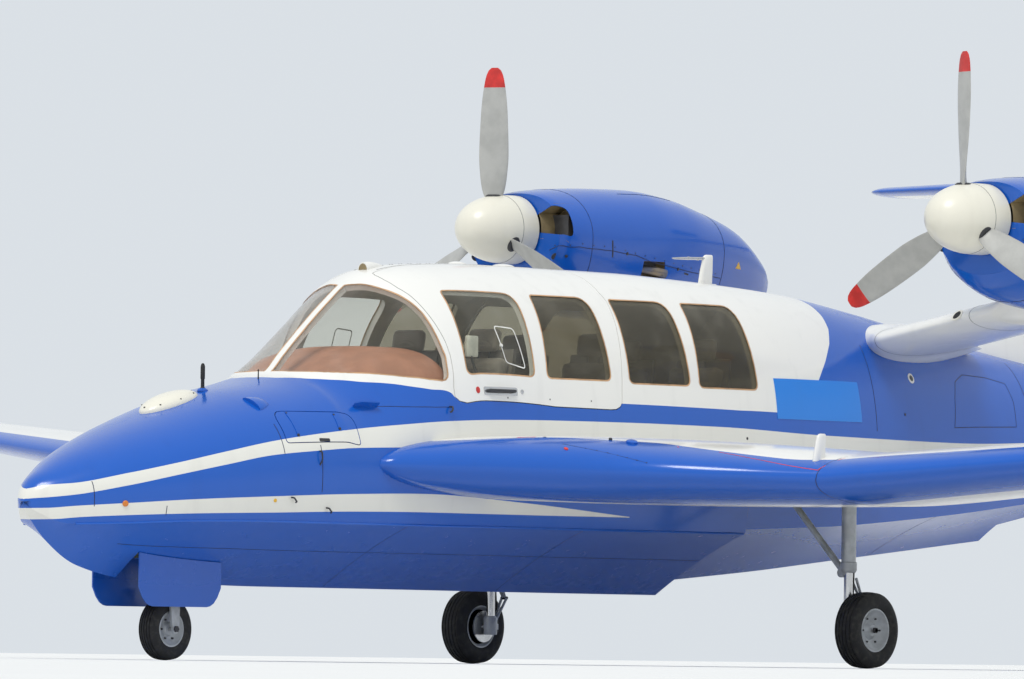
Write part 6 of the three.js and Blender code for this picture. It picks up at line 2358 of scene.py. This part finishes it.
def build_wing_trim():
    """Seams, blister, lamps, markings and mast of the wing."""
    parts = [
        wing_line([
            (2.200, 0.98), (2.195, 0.60), (2.190, 0.252), (2.184, 0.095), (2.180, 0.0), (2.170, -0.092),
            (2.150, -0.265), (2.150, -0.70)]),
        wing_line([(6.180, w) for w in np.linspace(-0.97, 0.97, 40)]),
        wing_line([(y, 0.845) for y in np.linspace(2.25, 6.15, 60)], 0.003, 1),
        wing_line([(4.00, w) for w in np.linspace(0.30, 0.83, 12)], 0.003, 1),
        wing_line([(1.048, 0.293), (1.200, 0.202), (1.388, 0.095)], 0.002),
        wing_line([(0.84, 0.405), (0.872, 0.418)], 0.006, 2),
        wing_line([(0.850, 0.392), (0.862, 0.430)], 0.006, 2),
        wing_line([(1.592, 0.280), (1.720, 0.240), (1.852, 0.197), (2.020, 0.140), (2.176, 0.092)], 0.005, 2),
        wing_line([(2.176, 0.092), (2.200, 0.200), (2.212, 0.291)], 0.005, 2),
        wing_line([(1.375, 0.330), (1.390, 0.318)], 0.008, 2),
        knob(WING, 0.892, 0.424, 0.008, 0.003, 16, 3),
        knob(WING, 1.092, 0.224, 0.012, 0.006, 16, 2),
        knob(WING, 1.092, 0.401, 0.010, 0.012, 14, 3),
        knob(WING, 1.192, 0.354, 0.032, 0.016, 24, 4),
    ]
    for t in np.linspace(0, 1, 9):
        y, w = np.array([1.048, 0.293]) * (1 - t) + np.array([1.388, 0.095]) * t
        parts.append(knob(WING, y, w, 0.004, 0.0012, 10, 0))
    parts.append(mast_shell(WING_MAST_ROWS, 31, (0.275, 0.33, 0.40, 0.41, 0.419, 0.4235)).painted(5))
    show_pair("wing_details", joined(*parts),
              ("seam", "white_seam", "red_paint", "dark_metal", "blue_paint", "white_paint"))
    outline = dense(WING, TIP_LAMP_CORNERS, 0.02, closed=True)
    lens = trimmed(WING, np.linspace(6.20, 6.33, 8), np.linspace(-0.2, 0.2, 9), outline)
    lens = lens.offset(0.0012).thickened(0.0010)
    show("tip_lamp_left", lens, ("red_lens",), "airframe")
    show("tip_lamp_right", lens.mirrored(), ("green_lens",), "airframe")


# Lines on the cowling's cheeks: stations and angles, width, finish number
COWLING_LINES = (
    (((5.723, -24), (5.840, -14), (5.919, -10), (6.060, -8.5), (6.200, -8), (6.400, -10), (6.525, -14),
      (6.700, -17), (6.945, -21), (7.27, -24)), SEAM, 0),
    (((6.187, 0), (6.190, -5), (6.198, -13)), 0.010, 1),
    (((6.870, -22), (6.915, -23)), 0.010, 1),
    (((6.45, 64), (6.95, 66)), 0.003, 0),
)
# Clips and the drain. Columns: station, angle, radius, height, sides
COWLING_CLIPS = (
    (5.841, -23, 0.009, 0.004, 14),
    (6.32, -9, 0.009, 0.004, 14),
    (6.80, -19, 0.009, 0.004, 14),
    (7.10, -22.5, 0.009, 0.004, 14),
    (5.785, -149, 0.020, 0.0025, 20),
)
RIVET_S = (5.723, 5.919, 6.2, 6.525, 6.945, 7.27)
RIVET_ANGLE = (-24, -10, -8, -14, -21, -24)


def build_engine_trim():
    """Cowling seams, clips and markings, and the pylon's seams and its hole, whose black disc is painted
    shade.
    """
    parts = []
    around = np.linspace(-90, 270, 120)
    for s, width, lift in ((7.280, SEAM, 0.0006), (6.020, 0.003, 0.0005)):
        parts.append(ribbon(NACELLE, np.stack([np.full(120, s), around], -1), width, lift))
    for points, width, finish in COWLING_LINES:
        parts += [ribbon(NACELLE, path, width, 0.0006, finish) for path in both_cheeks(points)]
    rivets = [(s, float(np.interp(s, RIVET_S, RIVET_ANGLE)) + 3.2, 0.004, 0.0012, 8)
              for s in np.arange(5.76, 7.27, 0.09)]
    for s, angle, radius, height, sides in (*COWLING_CLIPS, *rivets):
        for loop in both_cheeks([(s, angle)]):
            parts.append(knob(NACELLE, *loop[0], radius, height, sides, 2))
    for loop in both_cheeks([(7.43, -13), (7.50, -13), (7.465, -6)]):
        parts.append(decal(NACELLE, loop, 0.0008, 3, 0.01))
    show_pair("cowling_details", joined(*parts), ("seam", "dark_metal", "dark_metal", "yellow_paint"))
    w = np.linspace(-0.98, 0.98, 60)
    pylon_parts = [
        ribbon(PYLON, np.stack([np.full(60, 0.545), w], -1), SEAM, 0.0006),
        ribbon(PYLON, np.stack([np.full(60, 1.30), w], -1), 0.003, 0.0006),
        # A cream ring round a raised black disc stands for the round hole in the pylon; the black disc is
        # painted shade of the hole's inside.
        knob(PYLON, PYLON_HOLE_Y, 0.09, 0.040, 0.003, 28, 2),
        knob(PYLON, PYLON_HOLE_Y, 0.09, 0.028, 0.0045, 28, 1),
    ]
    show_pair("pylon_details", joined(*pylon_parts), ("white_seam", "rubber_and_hole_shade", "cream_paint"))


TAB_EDGE = 0.86  # chord coordinate of the tailplane's tab hinge


def build_tail_trim():
    """Seams of the fin and tailplane."""
    parts = []
    for face in (1, -1):
        for z in (1.20, 1.72):
            w_end = float(FIN.coordinate(z, RUDDER.lip(z) - 0.03, face))
            parts.append(ribbon(FIN, [(z, face * 0.06), (z, w_end)], 0.003, 0.0006))
    show("fin_details", joined(*parts), ("white_seam",), "airframe")
    tabs = []
    for face in (1, -1):
        hinge = [(y, face * TAB_EDGE) for y in np.linspace(0.15, 1.78, 40)]
        for path in (hinge, [(1.0, face * TAB_EDGE), (1.0, face * 0.985)]):
            tabs.append(ribbon(TAILPLANE, path, 0.003, 0.0006))
    show_pair("tailplane_details", joined(*tabs), ("white_seam",), "stabiliser")


def build_heel():
    """Rudder heel at the tail end."""
    shell = joined(
        block((9.545, -0.032, 0.470), (9.728, 0.032, 0.575), 0.012),
        lathe(((0.020, 0.0), (0.020, 0.012), (0.016, 0.014)), place(9.676, 0, 0.572), (0, 0, 1), 24, 1))
    show("rudder_heel", shell, ("blue_paint", "gear_metal"), "airframe")


# Stage

VIEW_DISTANCE = 60.0
VIEW_TARGET_X = -0.475
VIEW_HEIGHT = 0.030  # the camera stands on the floor
VIEW_BEARING = math.radians(39.78)
VIEW_YAW = math.radians(41.02)
VIEW_PITCH = math.radians(1.696)
VIEW_ROLL = -0.012231
SENSOR = 36.0
LENS = 379.1
FLOOR_HALF = 900.0
SUN_WAY = (-0.55, -0.25, -1.0)
SUN_COLOUR = (1.0, 0.97, 0.92)


def build_stage():
    """Floor, lights, sky and camera."""
    half = FLOOR_HALF
    floor = bpy.data.meshes.new("studio_floor")
    corners = [(-half, -half, 0), (half, -half, 0), (half, half, 0), (-half, half, 0)]
    floor.from_pydata(corners, [], [(0, 1, 2, 3)])
    floor.materials.append(finish("floor"))
    ground = bpy.data.objects.new("studio_floor", floor)
    bpy.context.scene.collection.objects.link(ground)
    settings = bpy.context.scene.flying_boat_stage
    bpy.context.scene.view_settings.view_transform = "Standard"
    world = bpy.data.worlds.new("soft_sky")
    world.use_nodes = True
    background = world.node_tree.nodes["Background"]
    background.inputs["Color"].default_value = opaque(settings.sky_colour)
    background.inputs["Strength"].default_value = settings.sky_strength
    bpy.context.scene.world = world
    sun = bpy.data.lights.new("soft_sun", "SUN")
    sun.energy = settings.sun_strength
    sun.angle = settings.sun_width
    sun.color = SUN_COLOUR
    lamp = bpy.data.objects.new("soft_sun", sun)
    lamp.rotation_euler = Vector(SUN_WAY).to_track_quat("-Z", "Y").to_euler()
    bpy.context.scene.collection.objects.link(lamp)
    camera = bpy.data.cameras.new("photo_view")
    camera.lens = LENS
    camera.sensor_width = SENSOR
    camera.clip_start, camera.clip_end = 1.0, 2000.0
    eye = bpy.data.objects.new("photo_view", camera)
    bpy.context.scene.collection.objects.link(eye)
    look = Vector((
        -math.cos(VIEW_PITCH) * math.cos(VIEW_YAW), -math.cos(VIEW_PITCH) * math.sin(VIEW_YAW),
        math.sin(VIEW_PITCH)))
    level = Vector((-math.sin(VIEW_YAW), math.cos(VIEW_YAW), 0.0))
    above = level.cross(look)
    right = math.cos(VIEW_ROLL) * level - math.sin(VIEW_ROLL) * above
    up = math.cos(VIEW_ROLL) * above + math.sin(VIEW_ROLL) * level
    turn = Matrix((right, up, -look)).transposed()
    eye.matrix_world = Matrix.Translation((
        VIEW_TARGET_X + VIEW_DISTANCE * math.cos(VIEW_BEARING),
        VIEW_DISTANCE * math.sin(VIEW_BEARING), VIEW_HEIGHT)) @ turn.to_4x4()
    bpy.context.scene.camera = eye


# Add-on

def colour_property(name, description, default):
    """Colour that a user can change, as linear red, green and blue."""
    return bpy.props.FloatVectorProperty(
        name=name, description=description, subtype="COLOR", size=3, min=0.0, max=1.0, default=default)


class FlyingBoatColours(bpy.types.PropertyGroup):
    blue: colour_property("Blue", "Upper and lower hull, nacelles and leading edges", (0.003, 0.098, 0.500))
    white: colour_property("White", "Cabin top, wing top and pylons", (0.84, 0.83, 0.79))
    stripe: colour_property("Stripe", "Bands along the hull", (0.78, 0.77, 0.71))
    cream: colour_property("Cream", "Spinners and antenna fairing", (0.80, 0.77, 0.66))
    azure: colour_property("Azure", "Plain rectangle behind the cabin", (0.0, 0.21, 0.74))
    seat: colour_property("Seats", "Seat covers", (0.30, 0.27, 0.23))
    floor: colour_property("Floor", "Studio floor", (0.80, 0.80, 0.79))


def length_property(name, description, default, low, high):
    """Length in metres that a user can change."""
    return bpy.props.FloatProperty(
        name=name, description=description, default=default, min=low, max=high,
        subtype="DISTANCE", unit="LENGTH", precision=4)


class FlyingBoatSizes(bpy.types.PropertyGroup):
    seal_width: length_property("Seal width", "Width of the rubber round each pane", 0.009, 0.005, 0.015)
    glass_thickness: length_property("Glass thickness", "Thickness of every pane", 0.005, 0.002, 0.010)
    rail_radius: length_property("Spray rail", "Radius of the rail along the chine", 0.007, 0.003, 0.010)
    blade_red_from: length_property(
        "Red tips", "Radius at which a blade's red tip starts", 0.800, 0.300, 0.900)


class FlyingBoatStage(bpy.types.PropertyGroup):
    sky_colour: colour_property("Sky colour", "Even light from all round", (0.80, 0.85, 0.90))
    sky_strength: bpy.props.FloatProperty(
        name="Sky strength", description="Brightness of the sky", default=0.88, min=0.0)
    sun_strength: bpy.props.FloatProperty(
        name="Sun strength", description="Brightness of the sun", default=1.7, min=0.0)
    sun_width: bpy.props.FloatProperty(
        name="Sun width", description="Apparent size of the soft sun", default=math.radians(22.0),
        min=0.0, max=math.pi, subtype="ANGLE")


class BuildFuselage(bpy.types.Operator):
    """Build the fuselage skin"""
    bl_idname = "flying_boat.fuselage"
    bl_label = "Fuselage"

    def execute(self, context):
        build_fuselage()
        build_cabin_top()
        build_doors()
        build_glass()
        build_hatch()
        return {"FINISHED"}


class BuildCabin(bpy.types.Operator):
    """Build the lining, instrument panel and seats"""
    bl_idname = "flying_boat.cabin"
    bl_label = "Cabin"

    def execute(self, context):
        build_lining()
        build_panel()
        build_seats()
        return {"FINISHED"}


class BuildTrim(bpy.types.Operator):
    """Build the seams, aerials, handles and small fittings"""
    bl_idname = "flying_boat.trim"
    bl_label = "Trim"

    def execute(self, context):
        build_hull_trim()
        build_door_trim()
        build_hatch_trim()
        build_masts()
        build_wing_trim()
        build_engine_trim()
        build_tail_trim()
        build_heel()
        return {"FINISHED"}


class BuildStage(bpy.types.Operator):
    """Build the floor, lights and camera"""
    bl_idname = "flying_boat.stage"
    bl_label = "Stage"

    def execute(self, context):
        build_stage()
        return {"FINISHED"}


class BuildWings(bpy.types.Operator):
    """Build the wings, flaps and ailerons"""
    bl_idname = "flying_boat.wings"
    bl_label = "Wings"

    def execute(self, context):
        build_wing()
        return {"FINISHED"}


class BuildTail(bpy.types.Operator):
    """Build the fin, rudder and tailplane"""
    bl_idname = "flying_boat.tail"
    bl_label = "Tail"

    def execute(self, context):
        build_fin()
        build_tailplane()
        return {"FINISHED"}


class BuildEngines(bpy.types.Operator):
    """Build the nacelles, propellers and pylons"""
    bl_idname = "flying_boat.engines"
    bl_label = "Engines"

    def execute(self, context):
        build_nacelles()
        build_propellers()
        build_pylons()
        coat_engines()
        return {"FINISHED"}


class BuildGear(bpy.types.Operator):
    """Build the landing gear"""
    bl_idname = "flying_boat.gear"
    bl_label = "Landing gear"

    def execute(self, context):
        build_wheels()
        build_main_legs()
        build_nose_leg()
        build_nose_bay()
        return {"FINISHED"}


OPERATORS = (BuildStage, BuildFuselage, BuildWings, BuildTail, BuildEngines, BuildGear, BuildCabin, BuildTrim)


class FlyingBoatPanel(bpy.types.Panel):
    """Lists the builders of the flying boat"""
    bl_idname = "VIEW3D_PT_flying_boat"
    bl_label = "Flying Boat"
    bl_space_type = "VIEW_3D"
    bl_region_type = "UI"
    bl_category = "Flying Boat"

    def draw(self, context):
        for operator in OPERATORS:
            self.layout.operator(operator.bl_idname)


GROUPS = (
    ("flying_boat_colours", FlyingBoatColours),
    ("flying_boat_sizes", FlyingBoatSizes),
    ("flying_boat_stage", FlyingBoatStage),
)


def register():
    for name, group in GROUPS:
        bpy.utils.register_class(group)
        setattr(bpy.types.Scene, name, bpy.props.PointerProperty(type=group))
    for owner in (*OPERATORS, FlyingBoatPanel):
        bpy.utils.register_class(owner)


def unregister():
    for owner in (FlyingBoatPanel, *reversed(OPERATORS)):
        bpy.utils.unregister_class(owner)
    for name, group in reversed(GROUPS):
        delattr(bpy.types.Scene, name)
        bpy.utils.unregister_class(group)


def main():
    """Build everything."""
    register()
    for operator in OPERATORS:
        getattr(bpy.ops.flying_boat, operator.bl_idname.split(".")[1])()
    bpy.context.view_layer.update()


if __name__ == "__main__":
    main()
